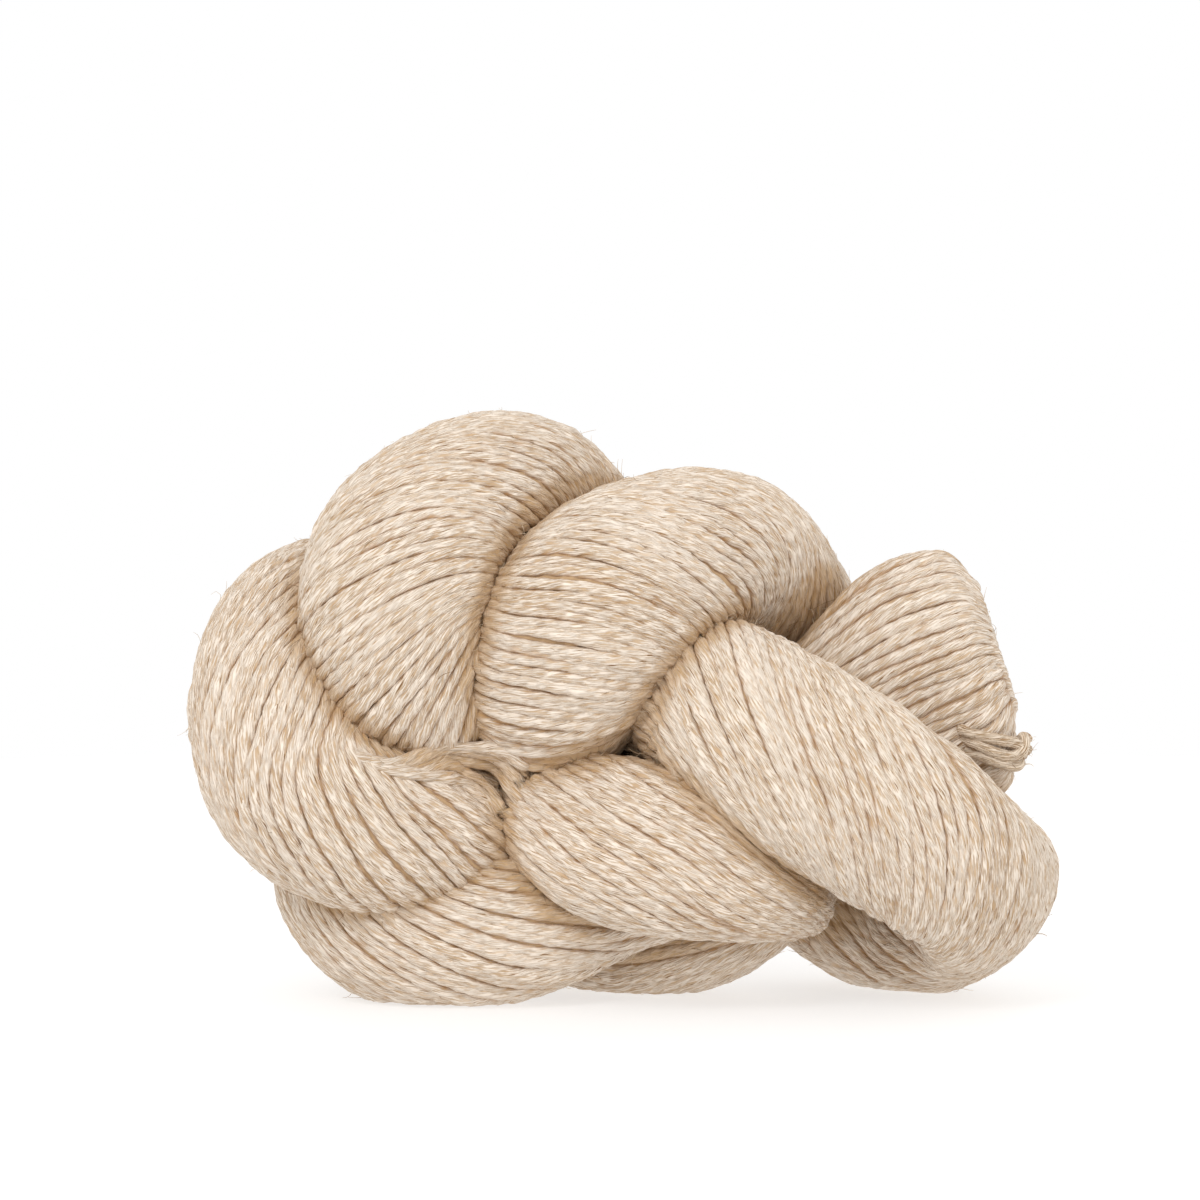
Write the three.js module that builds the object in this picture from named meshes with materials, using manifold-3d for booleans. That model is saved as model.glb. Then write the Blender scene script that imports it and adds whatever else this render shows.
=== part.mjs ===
import * as THREE from "three";
import { mergeVertices } from "three/addons/utils/BufferGeometryUtils.js";
import Module from "manifold-3d";

// A hank of knitting yarn: a wound loop of yarn twisted up into a rope of two plies, bent in a ring
// and stood on its edge, with one end of the loop drawn through the other and tied off with a knot.
// Millimetres, +Z up, +Y away from the front, origin on the table under the middle of the hank.

// Middle of the hank's box in the tables below, brought over the origin.
const MIDDLE_X = 0.2;
const MIDDLE_Y = 4.1;

// Rings laid between two rows of a table, and the sides of a bundle of yarn in section.
const RINGS_PER_ROW = 3;
const BUNDLE_SIDES = 22;
const ROWS_PER_LENGTH = 6;
const CORE_SIDES = 12;

// Depth to which the lobes that carry the hank are pressed flat on the table.
const TABLE_Z = 0;
const CUT_SIZE = 400;

// Places of the columns of a section row: the bundle's middle, its half width along the rope's surface,
// its half thickness across it, and the point of the rope's own axis that the bundle leans on.
const MIDDLE = 0;
const HALF_WIDTH = 3;
const HALF_THICKNESS = 4;
const AXIS = 5;

// First ply, from the fold at the lower right, along the front, round the ring and into the tail.
const FIRST_PLY = [
  // x, y, z, half width, half thickness, axis x, axis y, axis z
  [69, -20, 27, 17, 12, 54.5, 5, 33.5],
  [55, -27, 38.5, 19, 13, 53.5, 5, 41.5],
  [37, -27, 50.5, 19.5, 13, 37, 5, 43.5],
  [19, -17, 61, 18, 14.5, 20, 2, 57],
  [5.5, 2, 63, 18, 15.5, 12.5, 2, 72],
  [-3.5, 16, 68, 18.5, 16, 4.5, 2, 80],
  [-10, 25, 80, 19, 16.5, -4.5, 0, 82.5],
  [-16.5, 22, 92.5, 20, 17, -12.5, 0, 83.5],
  [-26, 8, 100.5, 20.5, 17, -23.5, 0, 83.5],
  [-39.5, -8, 95, 20.5, 17, -34.5, 0, 80.5],
  [-45, -16, 81.5, 20, 16.5, -41.5, 0, 76.5],
  [-42, -14, 68, 19, 16, -46, 0, 70.5],
  [-33, -3, 59.5, 17, 15, -47.5, 0, 65.5],
  [-25, 12, 53.5, 16.5, 15, -49.5, 0, 61.5],
  [-27, 23, 42, 17, 15, -51, 0, 51],
  [-39.5, 27, 30.5, 17, 14.5, -51, 0, 41],
  [-51, 20, 23.5, 17, 14, -49, 0, 33],
  [-54, 8, 19.5, 17, 14, -45, 0, 27],
  [-49, -4, 15.5, 17, 13.5, -38.5, 0, 22],
  [-35.5, -10, 15, 16.5, 13, -28.5, 0, 20],
  [-20, -9, 17, 16, 12.5, -16.5, 0, 19],
  [-4.5, -3, 23, 15, 11, -2.5, 3, 23],
  [12.5, -4, 29, 14.5, 10.5, 12.5, 5, 27],
  [28.5, -4, 36, 14.5, 10, 28.5, 6, 34.5],
  [44.5, -4, 44, 15, 9.5, 44.5, 6, 42.5],
];

// The turn of the fold itself, from the front leg to the back leg.
const FOLD = [[73, 2, 18.5, 17, 11.5, 56.5, 5, 31.5]];

// Second ply, from the fold, up behind the tail, over the top, round the ring and into the tail.
const SECOND_PLY = [
  // x, y, z, half width, half thickness, axis x, axis y, axis z
  [60, 21, 12.5, 16.5, 11.5, 51.5, 5, 29.5],
  [45, 31, 19.5, 17.5, 12, 45.5, 5, 33.5],
  [36.5, 36, 38.5, 18.5, 13, 35.5, 5, 41.5],
  [33, 33, 59, 19, 14, 25.5, 2, 58],
  [28.5, 24, 76, 19.5, 15.5, 18.5, 0, 68.5],
  [19, 10, 88.5, 20, 17, 13.5, 0, 74.5],
  [6.5, -8, 88, 20, 17, 6.5, 0, 79.5],
  [-5, -17, 80.5, 20.5, 17, -2.5, 0, 81.5],
  [-12.5, -16, 68, 19.5, 16.5, -12.5, 0, 80.5],
  [-15, -5, 56.5, 18, 15.5, -19.5, 0, 79.5],
  [-19.5, 10, 49.5, 17.5, 15.5, -28.5, 0, 77.5],
  [-30.5, 23, 56, 18.5, 16, -36.5, 0, 73.5],
  [-44, 28, 66.5, 19, 16.5, -44.5, 0, 68.5],
  [-56.5, 21, 72.5, 19, 17, -49, 0, 64.5],
  [-65.5, 6, 72, 19, 17, -51.5, 0, 60.5],
  [-69.5, -8, 60, 19, 16.5, -54, 0, 55.5],
  [-64.5, -16, 45.5, 19, 16, -55.5, 0, 46],
  [-51.5, -17, 37.5, 18, 15.5, -53.5, 0, 38],
  [-38, -10, 35.5, 17, 15, -47.5, 0, 29],
  [-26.5, 2, 35.5, 16.5, 14, -38.5, 0, 24],
  [-17.5, 16, 26.5, 16, 13, -24.5, 0, 20],
  [-6.5, 20, 14.5, 15.5, 12, -8.5, 2, 21.5],
  [8, 15, 12, 15.5, 11.5, 5.5, 5, 23.5],
  [21, 12, 15, 15, 11, 18.5, 6, 27.5],
  [32.5, 12, 26.5, 15, 10, 30.5, 6, 34.5],
  [44.5, 13, 39.5, 15, 9.5, 44.5, 6, 42.5],
];

// Collar of yarn wrapped once round the tail where it leaves the ring, a closed band.
const COLLAR = [
  // x, y, z, half width, half thickness, axis x, axis y, axis z
  [-17, -8, 41, 11.5, 8.5, 5.5, 6, 29.5],
  [-4.5, -20, 35.5, 17, 10.5, 3.5, 6, 31.5],
  [13.5, -24, 30.5, 16, 10.5, 13.5, 6, 30.5],
  [28.5, -20, 24, 11, 9, 23.5, 6, 29.5],
  [35.5, -6, 20, 7, 7.5, 27.5, 6, 29.5],
  [31.5, 16, 20.5, 9, 8, 24.5, 6, 29.5],
  [13.5, 25, 28.5, 14, 9, 13.5, 6, 30.5],
  [-6.5, 18, 39.5, 12, 8.5, 3.5, 6, 31.5],
];

// Loop end that comes out of the fold's eye and spreads in a flat fan.
const FAN = [
  // upper edge x, z, lower edge x, z, y, half thickness
  [23.5, 60, 49.5, 27.5, 4, 14],
  [35.5, 72, 65.5, 37, 3, 14],
  [47, 84.5, 75.5, 41, 3, 13],
  [56.5, 89.5, 78, 45, 2, 11.5],
  [64.5, 90, 78.5, 51, 2, 9],
  [71, 84, 79.5, 57.5, 2, 5],
];

// Yarn that fills the rope between its two plies.
const CORE_RADIUS = 9;
const CORE = [
  // x, y, z
  [47, 3, 42],
  [34, 2, 46],
  [20, 2, 57],
  [13.5, 1, 69],
  [6.5, 0, 79.5],
  [-12.5, 0, 82],
  [-28.5, 0, 82],
  [-41.5, 0, 76.5],
  [-48.5, 0, 64.5],
  [-54, 0, 52],
  [-54, 0, 40],
  [-47.5, 0, 28],
  [-32.5, 0, 21],
  [-16.5, 2, 19],
  [-2.5, 3, 23],
  [15.5, 6, 29],
  [40, 6, 40],
];

// Tie round the lower edge of the fan: two lengths of yarn side by side that end in a small knot.
// A row gives the place along the fan's table, and how far across the fan, from -1 at its lower edge.
const TIE_RADIUS = 1.1;
const TIE_SIDES = 8;
const TIE_GAP = 0.35;
const NEAR = 0.01;
const KNOT_RADIUS = 2.3;
const KNOT_DETAIL = 12;
const UPPER_YARN = [
  // row of the fan, place across it
  [2.5, -0.5],
  [2.85, -0.61],
  [3.2, -0.72],
  [3.6, -0.83],
  [4, -0.95],
];
const LOWER_YARN = [
  // row of the fan, place across it
  [2.9, -0.71],
  [3.15, -0.77],
  [3.4, -0.83],
  [3.7, -0.9],
  [4, -0.965],
];

const wasm = await Module();
wasm.setup();

/** Point of a Catmull-Rom curve of number rows: between b and c at t, with a before and d after. */
function blend(a, b, c, d, t) {
  return b.map(
    (v, k) =>
      0.5 *
      (2 * v +
        (c[k] - a[k]) * t +
        (2 * a[k] - 5 * v + 4 * c[k] - d[k]) * t * t +
        (3 * v - a[k] - 3 * c[k] + d[k]) * t * t * t),
  );
}

/** The rows of a table with rows blended in between, `steps` to a gap. */
function refine(rows, steps) {
  const last = rows.length - 1;
  const before = rows[0].map((v, k) => 2 * v - rows[1][k]);
  const after = rows[last].map((v, k) => 2 * v - rows[last - 1][k]);
  const all = [before, ...rows, after];
  const out = [];
  for (let i = 1; i <= last; i++) {
    for (let s = 0; s < steps; s++) {
      out.push(blend(all[i - 1], all[i], all[i + 1], all[i + 2], s / steps));
    }
  }
  out.push(rows[last]);
  return out;
}

/** The rows of a closed table with rows blended in between, the first row again at the end. */
function refineClosed(rows, steps) {
  const n = rows.length;
  const out = [];
  for (let i = 0; i < n; i++) {
    for (let s = 0; s < steps; s++) {
      const a = rows[(i + n - 1) % n];
      out.push(blend(a, rows[i], rows[(i + 1) % n], rows[(i + 2) % n], s / steps));
    }
  }
  out.push(rows[0]);
  return out;
}

const pointAt = (row, first) => new THREE.Vector3(row[first], row[first + 1], row[first + 2]);

/** Direction of travel at each row, from the rows on both sides of it. */
function directions(rows, closed) {
  const n = rows.length;
  return rows.map((row, i) => {
    const wrapped = closed && (i === 0 || i === n - 1);
    const next = wrapped ? rows[1] : rows[Math.min(i + 1, n - 1)];
    const back = wrapped ? rows[n - 2] : rows[Math.max(i - 1, 0)];
    return pointAt(next, MIDDLE).sub(pointAt(back, MIDDLE)).normalize();
  });
}

/** Elliptical section rings of a bundle that leans on the rope's axis, one for each row. */
function bundleRings(rows, closed) {
  const along = directions(rows, closed);
  return rows.map((row, i) => {
    const middle = pointAt(row, MIDDLE);
    const out = middle.clone().sub(pointAt(row, AXIS));
    out.addScaledVector(along[i], -out.dot(along[i])).normalize();
    const side = along[i].clone().cross(out);
    const ring = [];
    for (let k = 0; k < BUNDLE_SIDES; k++) {
      const angle = (k / BUNDLE_SIDES) * Math.PI * 2;
      ring.push(
        middle
          .clone()
          .addScaledVector(side, row[HALF_WIDTH] * Math.cos(angle))
          .addScaledVector(out, row[HALF_THICKNESS] * Math.sin(angle)),
      );
    }
    return ring;
  });
}

/** Round rings of one radius along a list of points. */
function roundRings(points, radius, sides) {
  const along = directions(points, false);
  const up = new THREE.Vector3(0, 1, 0);
  return points.map((point, i) => {
    const side = along[i].clone().cross(up).normalize();
    const lift = side.clone().cross(along[i]).normalize();
    const ring = [];
    for (let k = 0; k < sides; k++) {
      const angle = (k / sides) * Math.PI * 2;
      ring.push(
        pointAt(point, MIDDLE)
          .addScaledVector(side, radius * Math.cos(angle))
          .addScaledVector(lift, radius * Math.sin(angle)),
      );
    }
    return ring;
  });
}

/** Rings of the flat fan, each an ellipse between its upper and its lower edge. */
function fanRings(rows) {
  const edges = rows.map(([ux, uz, lx, lz, y, thick]) => ({
    middle: new THREE.Vector3((ux + lx) / 2, y, (uz + lz) / 2),
    half: new THREE.Vector3((ux - lx) / 2, 0, (uz - lz) / 2),
    thick,
  }));
  return edges.map(({ middle, half, thick }) => {
    const ring = [];
    for (let k = 0; k < BUNDLE_SIDES; k++) {
      const angle = (k / BUNDLE_SIDES) * Math.PI * 2;
      const point = middle.clone().addScaledVector(half, Math.cos(angle));
      point.y -= thick * Math.sin(angle);
      ring.push(point);
    }
    return ring;
  });
}

/** Point on the front of the fan, at a place of its table and across it. */
function onFan(place, across) {
  const low = Math.min(Math.floor(place), FAN.length - 3);
  const at = blend(FAN[low - 1], FAN[low], FAN[low + 1], FAN[low + 2], place - low);
  const [ux, uz, lx, lz, y, thick] = at;
  const depth = y - thick * Math.sqrt(1 - across * across);
  const middle = new THREE.Vector3((ux + lx) / 2, depth, (uz + lz) / 2);
  return middle.add(new THREE.Vector3(((ux - lx) / 2) * across, 0, ((uz - lz) / 2) * across));
}

/** Point above the front of the fan by a gap, square to its surface. */
function aboveFan(place, across, gap) {
  const point = onFan(place, across);
  const along = onFan(place - NEAR, across).sub(point);
  const over = onFan(place, across + NEAR).sub(point);
  const normal = along.cross(over).normalize();
  return point.addScaledVector(normal, normal.y < 0 ? gap : -gap);
}

/** A solid from one closed list of triangles, turned to face out. */
function solidOf(positions, triangles) {
  const volume = triangles.reduce((sum, [a, b, c]) => {
    const p = positions[a];
    return sum + p.clone().cross(positions[b]).dot(positions[c]);
  }, 0);
  const facing = volume < 0 ? triangles.map(([a, b, c]) => [a, c, b]) : triangles;
  return new wasm.Manifold(
    new wasm.Mesh({
      numProp: 3,
      vertProperties: new Float32Array(positions.flatMap((p) => [p.x, p.y, p.z])),
      triVerts: new Uint32Array(facing.flat()),
    }),
  );
}

/** A solid through rings of points in order, both ends closed on their middles. */
function skin(rings) {
  const sides = rings[0].length;
  const positions = rings.flat();
  const triangles = [];
  for (let i = 0; i + 1 < rings.length; i++) {
    for (let k = 0; k < sides; k++) {
      const a = i * sides + k;
      const b = i * sides + ((k + 1) % sides);
      triangles.push([a, b, b + sides], [a, b + sides, a + sides]);
    }
  }
  const ends = [rings[0], rings[rings.length - 1]];
  const first = positions.length;
  for (const ring of ends) {
    const sum = ring.reduce((total, p) => total.add(p), new THREE.Vector3());
    positions.push(sum.divideScalar(sides));
  }
  const far = (rings.length - 1) * sides;
  for (let k = 0; k < sides; k++) {
    const next = (k + 1) % sides;
    triangles.push([first, next, k], [first + 1, far + k, far + next]);
  }
  return solidOf(positions, triangles);
}

/** Joins solids in one. */
function join(solids) {
  return solids.reduce((whole, solid) => whole.add(solid));
}

/** A long bundle as short lengths that share their end rings, joined in one solid. */
function lengths(rings, ringsPerLength) {
  const parts = [];
  for (let i = 0; i + 1 < rings.length; i += ringsPerLength) {
    parts.push(skin(rings.slice(i, i + ringsPerLength + 1)));
  }
  return join(parts);
}

/** The corner that stands for each corner's body: corners joined by triangles share one. */
function bodies(corners, count) {
  const parent = Array.from({ length: count }, (_, i) => i);
  const find = (i) => {
    while (parent[i] !== i) {
      parent[i] = parent[parent[i]];
      i = parent[i];
    }
    return i;
  };
  for (let t = 0; t < corners.length; t += 3) {
    parent[find(corners[t])] = find(corners[t + 1]);
    parent[find(corners[t + 1])] = find(corners[t + 2]);
  }
  return parent.map((_, i) => find(i));
}

/** Geometry of a solid's outer surface, without the closed hollows inside it. */
function outerSurface(solid) {
  const mesh = solid.getMesh();
  const plain = new THREE.BufferGeometry();
  plain.setAttribute("position", new THREE.BufferAttribute(mesh.vertProperties, mesh.numProp));
  plain.setIndex(new THREE.BufferAttribute(mesh.triVerts, 1));
  const merged = mergeVertices(plain, 1e-4);
  const corners = merged.index.array;
  const body = bodies(corners, merged.attributes.position.count);
  const sizes = new Map();
  for (let t = 0; t < corners.length; t += 3) {
    sizes.set(body[corners[t]], (sizes.get(body[corners[t]]) ?? 0) + 1);
  }
  const outer = [...sizes.entries()].sort((a, b) => b[1] - a[1])[0][0];
  const kept = [];
  for (let t = 0; t < corners.length; t += 3) {
    if (body[corners[t]] === outer) kept.push(corners[t], corners[t + 1], corners[t + 2]);
  }
  merged.setIndex(kept);
  return merged;
}

/** A named mesh with a yarn material of its own, moved over the origin. */
function yarnMesh(name, solid, colour) {
  const geometry = outerSurface(solid);
  geometry.translate(-MIDDLE_X, -MIDDLE_Y, 0);
  geometry.computeVertexNormals();
  const material = new THREE.MeshStandardMaterial({ color: colour, roughness: 0.95 });
  const mesh = new THREE.Mesh(geometry, material);
  mesh.name = name;
  return mesh;
}

// The rope's two plies and the fold between them are one long bundle.
const bundleRows = refine([...FIRST_PLY].reverse().concat(FOLD, SECOND_PLY), RINGS_PER_ROW);
const ringsPerLength = ROWS_PER_LENGTH * RINGS_PER_ROW;
const rope = lengths(bundleRings(bundleRows, false), ringsPerLength);

const collarRings = bundleRings(refineClosed(COLLAR, RINGS_PER_ROW), true);
const collar = lengths(collarRings, RINGS_PER_ROW * 2);

const fan = skin(fanRings(refine(FAN, RINGS_PER_ROW)));
const core = lengths(roundRings(refine(CORE, 2), CORE_RADIUS, CORE_SIDES), ROWS_PER_LENGTH);

const underTable = wasm.Manifold.cube([CUT_SIZE, CUT_SIZE, CUT_SIZE], true).translate([
  0,
  0,
  TABLE_Z - CUT_SIZE / 2,
]);

const hank = join([rope, collar, fan, core]).subtract(underTable);

const yarnGap = TIE_RADIUS + TIE_GAP;
const tieYarns = [UPPER_YARN, LOWER_YARN].map((rows) => {
  const places = refine(rows, RINGS_PER_ROW);
  const points = places.map(([place, across]) => aboveFan(place, across, yarnGap).toArray());
  return skin(roundRings(points, TIE_RADIUS, TIE_SIDES));
});
const [knotPlace, knotAcross] = UPPER_YARN[UPPER_YARN.length - 1];
const knotAt = aboveFan(knotPlace, knotAcross, KNOT_RADIUS + TIE_GAP);
const knot = wasm.Manifold.sphere(KNOT_RADIUS, KNOT_DETAIL).translate(knotAt.toArray());
const tie = join([knot, ...tieYarns]);

const NATURAL = 0xcbb797;
const TIE_COLOUR = 0xc2ad8d;

const group = new THREE.Group();
group.name = "knitting_yarn";
group.add(yarnMesh("hank", hank, NATURAL), yarnMesh("tie", tie, TIE_COLOUR));

export default group;
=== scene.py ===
"""Knitting yarn: a twisted hank, dressed with every turn of yarn that shows, its tie, fuzz and strays.

The tables are in millimetres in the frame's axes, before the hank's middle is brought over the origin.
Meshes are made in metres.
"""

import logging
import math
from dataclasses import dataclass, field
from enum import Enum

import bmesh
import bpy
import numpy as np
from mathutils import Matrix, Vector
from mathutils.bvhtree import BVHTree
from mathutils.kdtree import KDTree

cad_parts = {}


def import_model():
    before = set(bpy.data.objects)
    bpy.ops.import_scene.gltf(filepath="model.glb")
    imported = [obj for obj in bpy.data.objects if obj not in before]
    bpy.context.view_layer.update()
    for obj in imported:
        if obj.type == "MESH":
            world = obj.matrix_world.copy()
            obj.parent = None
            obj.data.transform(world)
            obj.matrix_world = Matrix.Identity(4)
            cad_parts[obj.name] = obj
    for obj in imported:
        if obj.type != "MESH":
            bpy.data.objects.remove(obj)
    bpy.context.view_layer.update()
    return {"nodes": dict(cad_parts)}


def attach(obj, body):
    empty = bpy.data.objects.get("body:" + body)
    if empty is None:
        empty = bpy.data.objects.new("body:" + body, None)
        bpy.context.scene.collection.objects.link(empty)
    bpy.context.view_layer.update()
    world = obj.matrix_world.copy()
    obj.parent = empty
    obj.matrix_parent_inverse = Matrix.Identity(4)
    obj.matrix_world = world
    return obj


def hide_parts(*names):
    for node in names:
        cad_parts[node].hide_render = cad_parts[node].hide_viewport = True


LOG = logging.getLogger("yarn")

MM = 0.001
FULL_TURN = 2 * math.pi
MIDDLE = np.array([0.2, 4.1, 0.0])
CAMERA_ELEVATION = 5.5
TURN_PITCH = 2.1
TURN_RADIUS = 1.4
TURN_STEP = 0.8
TURN_SIDES = 8
PLIES = 2
PLY_PITCH = 8.5
STATION_STEPS = 16
GUIDE_STEPS = 12
GIRTH_POINTS = 121
TWIST_SHIFT = 0.37
NOISE_SPAN = 50
TINT_SEED = 9
BUMP_HEIGHT = 0.4 * MM
MOST_TRIANGLES = 185_000

# Section rows of the hank's bundles: x, y, z of the middle, half width, half thickness, x, y, z of the
# rope's axis beside it, the lay of the turns to the bundle in degrees, and how far apart they lie.
FIRST_PLY = (
    (69, -20, 27, 17, 12, 54.5, 5, 33.5, 61, 1),
    (55, -27, 38.5, 19, 13, 53.5, 5, 41.5, 43, 1),
    (37, -27, 50.5, 19.5, 13, 37, 5, 43.5, 33, 1),
    (19, -17, 61, 18, 14.5, 20, 2, 57, 42, 1),
    (5.5, 2, 63, 18, 15.5, 12.5, 2, 72, 48, 1.02),
    (-3.5, 16, 68, 18.5, 16, 4.5, 2, 80, 54, 1.03),
    (-10, 25, 80, 19, 16.5, -4.5, 0, 82.5, 57, 1),
    (-16.5, 22, 92.5, 20, 17, -12.5, 0, 83.5, 54, 1),
    (-26, 8, 100.5, 20.5, 17, -23.5, 0, 83.5, 52, 1),
    (-39.5, -8, 95, 20.5, 17, -34.5, 0, 80.5, 56, 1),
    (-45, -16, 81.5, 20, 16.5, -41.5, 0, 76.5, 61, 1),
    (-42, -14, 68, 19, 16, -46, 0, 70.5, 62, 1),
    (-33, -3, 59.5, 17, 15, -47.5, 0, 65.5, 58, 1.03),
    (-25, 12, 53.5, 16.5, 15, -49.5, 0, 61.5, 54, 1.05),
    (-27, 23, 42, 17, 15, -51, 0, 51, 50, 1.1),
    (-39.5, 27, 30.5, 17, 14.5, -51, 0, 41, 48, 1.12),
    (-51, 20, 23.5, 17, 14, -49, 0, 33, 50, 1.15),
    (-54, 8, 19.5, 17, 14, -45, 0, 27, 53, 1.15),
    (-49, -4, 15.5, 17, 13.5, -38.5, 0, 22, 52, 1.18),
    (-35.5, -10, 15, 16.5, 13, -28.5, 0, 20, 37, 1.18),
    (-20, -9, 17, 16, 12.5, -16.5, 0, 19, 32, 1.18),
    (-4.5, -3, 23, 15, 11, -2.5, 3, 23, 38, 1.15),
    (12.5, -4, 29, 14.5, 10.5, 12.5, 5, 27, 32, 1.12),
    (28.5, -4, 36, 14.5, 10, 28.5, 6, 34.5, 22, 1.1),
    (44.5, -4, 44, 15, 9.5, 44.5, 6, 42.5, 15, 1.1),
    (52, -1, 50, 13, 7.5, 52, 8, 49, 12, 1.05),
    (60, 2, 56, 11, 5, 60, 11, 55, 10, 1),
)
FOLD = (
    (73, 2, 18.5, 17, 11.5, 56.5, 5, 31.5, 52, 1.05),
)
SECOND_PLY = (
    (60, 21, 12.5, 16.5, 11.5, 51.5, 5, 29.5, 36, 1.1),
    (45, 31, 19.5, 17.5, 12, 45.5, 5, 33.5, 30, 1.1),
    (36.5, 36, 38.5, 18.5, 13, 35.5, 5, 41.5, 40, 1.08),
    (33, 33, 59, 19, 14, 25.5, 2, 58, 46, 1.05),
    (28.5, 24, 76, 19.5, 15.5, 18.5, 0, 68.5, 48, 1),
    (19, 10, 88.5, 20, 17, 13.5, 0, 74.5, 58, 1),
    (6.5, -8, 88, 20, 17, 6.5, 0, 79.5, 61, 1),
    (-5, -17, 80.5, 20.5, 17, -2.5, 0, 81.5, 66, 1),
    (-12.5, -16, 68, 19.5, 16.5, -12.5, 0, 80.5, 77, 1),
    (-15, -5, 56.5, 18, 15.5, -19.5, 0, 79.5, 84, 1),
    (-19.5, 10, 49.5, 17.5, 15.5, -28.5, 0, 77.5, 74, 1),
    (-30.5, 23, 56, 18.5, 16, -36.5, 0, 73.5, 62, 1),
    (-44, 28, 66.5, 19, 16.5, -44.5, 0, 68.5, 52, 1),
    (-56.5, 21, 72.5, 19, 17, -49, 0, 64.5, 44, 1.02),
    (-65.5, 6, 72, 19, 17, -51.5, 0, 60.5, 37, 1.05),
    (-69.5, -8, 60, 19, 16.5, -54, 0, 55.5, 41, 1.1),
    (-64.5, -16, 45.5, 19, 16, -55.5, 0, 46, 44, 1.15),
    (-51.5, -17, 37.5, 18, 15.5, -53.5, 0, 38, 46, 1.2),
    (-38, -10, 35.5, 17, 15, -47.5, 0, 29, 49, 1.2),
    (-26.5, 2, 35.5, 16.5, 14, -38.5, 0, 24, 46, 1.15),
    (-17.5, 16, 26.5, 16, 13, -24.5, 0, 20, 32, 1.12),
    (-6.5, 20, 14.5, 15.5, 12, -8.5, 2, 21.5, 14, 1.12),
    (8, 15, 12, 15.5, 11.5, 5.5, 5, 23.5, 15, 1.12),
    (21, 12, 15, 15, 11, 18.5, 6, 27.5, 13, 1.12),
    (32.5, 12, 26.5, 15, 10, 30.5, 6, 34.5, 10, 1.1),
    (44.5, 13, 39.5, 15, 9.5, 44.5, 6, 42.5, 8, 1.1),
    (53, 10.5, 47.5, 13, 7, 53, 4, 49.5, 8, 1.05),
    (61, 7, 56, 11, 5, 61, 0, 57, 8, 1),
)
COLLAR = (
    (-17, -8, 41, 11.5, 8.5, 5.5, 6, 29.5, 0, 1.1),
    (-4.5, -20, 35.5, 17, 10.5, 3.5, 6, 31.5, 15, 1.15),
    (13.5, -24, 30.5, 16, 10.5, 13.5, 6, 30.5, 18, 1.15),
    (28.5, -20, 24, 11, 9, 23.5, 6, 29.5, 5, 1.1),
    (35.5, -6, 20, 7, 7.5, 27.5, 6, 29.5, 4, 1.1),
    (31.5, 16, 20.5, 9, 8, 24.5, 6, 29.5, 4, 1.1),
    (13.5, 25, 28.5, 14, 9, 13.5, 6, 30.5, 6, 1.1),
    (-6.5, 18, 39.5, 12, 8.5, 3.5, 6, 31.5, 6, 1.1),
)

# The core's rows differ in their place alone.
CORE_RADIUS = 9
CORE_LEAN = 10
CORE_LAY = 20
CORE = tuple(
    (x, y, z, CORE_RADIUS, CORE_RADIUS, x, y + CORE_LEAN, z, CORE_LAY, 1)
    for x, y, z in (
        (47, 3, 42), (34, 2, 46), (20, 2, 57), (13.5, 1, 69), (6.5, 0, 79.5),
        (-12.5, 0, 82), (-28.5, 0, 82), (-41.5, 0, 76.5), (-48.5, 0, 64.5), (-54, 0, 52),
        (-54, 0, 40), (-47.5, 0, 28), (-32.5, 0, 21), (-16.5, 2, 19), (-2.5, 3, 23),
        (15.5, 6, 29), (40, 6, 40),
    )
)

# Fan rows: x and z of the upper edge, x and z of the lower edge, y, half thickness and spread of the turns.
FAN = (
    (23.5, 60, 49.5, 27.5, 4, 14, 1.1),
    (35.5, 72, 65.5, 37, 3, 14, 1.15),
    (47, 84.5, 75.5, 41, 3, 13, 1.2),
    (56.5, 89.5, 78, 45, 2, 11.5, 1.15),
    (64.5, 90, 78, 51, 2, 9, 1.05),
    (70, 84.5, 78, 57, 2, 5.5, 0.85),
)

# A group of turns leaves the lay of the bundles. Its outermost turns are guide lines of x and height in the
# picture that the camera sees.
SWEPT_UPPER = (
    (-57, 53.6),
    (-50, 49.6),
    (-41, 49),
    (-33, 50.2),
    (-26, 50.4),
    (-21.4, 47.8),
    (-19.8, 43.8),
)
SWEPT_LOWER = (
    (-57, 52.2),
    (-50, 48.2),
    (-43.5, 46.6),
    (-36.4, 46.4),
    (-29.8, 44.2),
    (-25.6, 39.6),
    (-23.8, 33),
)

# The tie's yarns: two from the fan's front through the knot to a short free end, and one below it.
TIE_YARNS = (
    (
        (66.5, -6.5, 55.8), (69.2, -9.7, 54.6), (72.5, -10, 53.9), (75.5, -8.9, 53.2),
        (78, -6.8, 52.5), (79.7, -5, 51.4), (80.2, -3.6, 50.2), (80, -2.2, 49.6),
        (79.6, -1, 50.4), (79.5, -1, 51.8), (80.4, -2.2, 53), (80.9, -3.4, 52.8),
    ),
    (
        (67.6, -7, 54), (70.4, -9.8, 52.6), (73.2, -9.6, 51.3), (75.8, -8.6, 50.2),
        (78.2, -7, 49.8), (79.9, -5.8, 50.8), (80.5, -4.6, 52.2), (80.4, -3, 53.1),
        (80, -1.6, 52.5), (80, -1.4, 51.2), (80.7, -2.6, 50.4), (80.9, -3.9, 51),
    ),
    (
        (68.8, -7.5, 50.8), (71.4, -9, 50.3), (74.2, -8.5, 49), (76.8, -7, 48),
        (78.8, -5, 47.6), (79.6, -3, 48), (79, -0.5, 48.8),
    ),
)


class Piece(str, Enum):
    """Names of the pieces, as the table of pieces gives them."""

    UNDER = "under_turns"
    ROPE = "first_ply_turns"
    COLLAR = "collar_turns"
    CORE = "core_turns"
    FAN = "fan_turns"
    SWEPT = "swept_turns"
    TIE = "tie_yarn"
    FUZZ = "fuzz"


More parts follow.
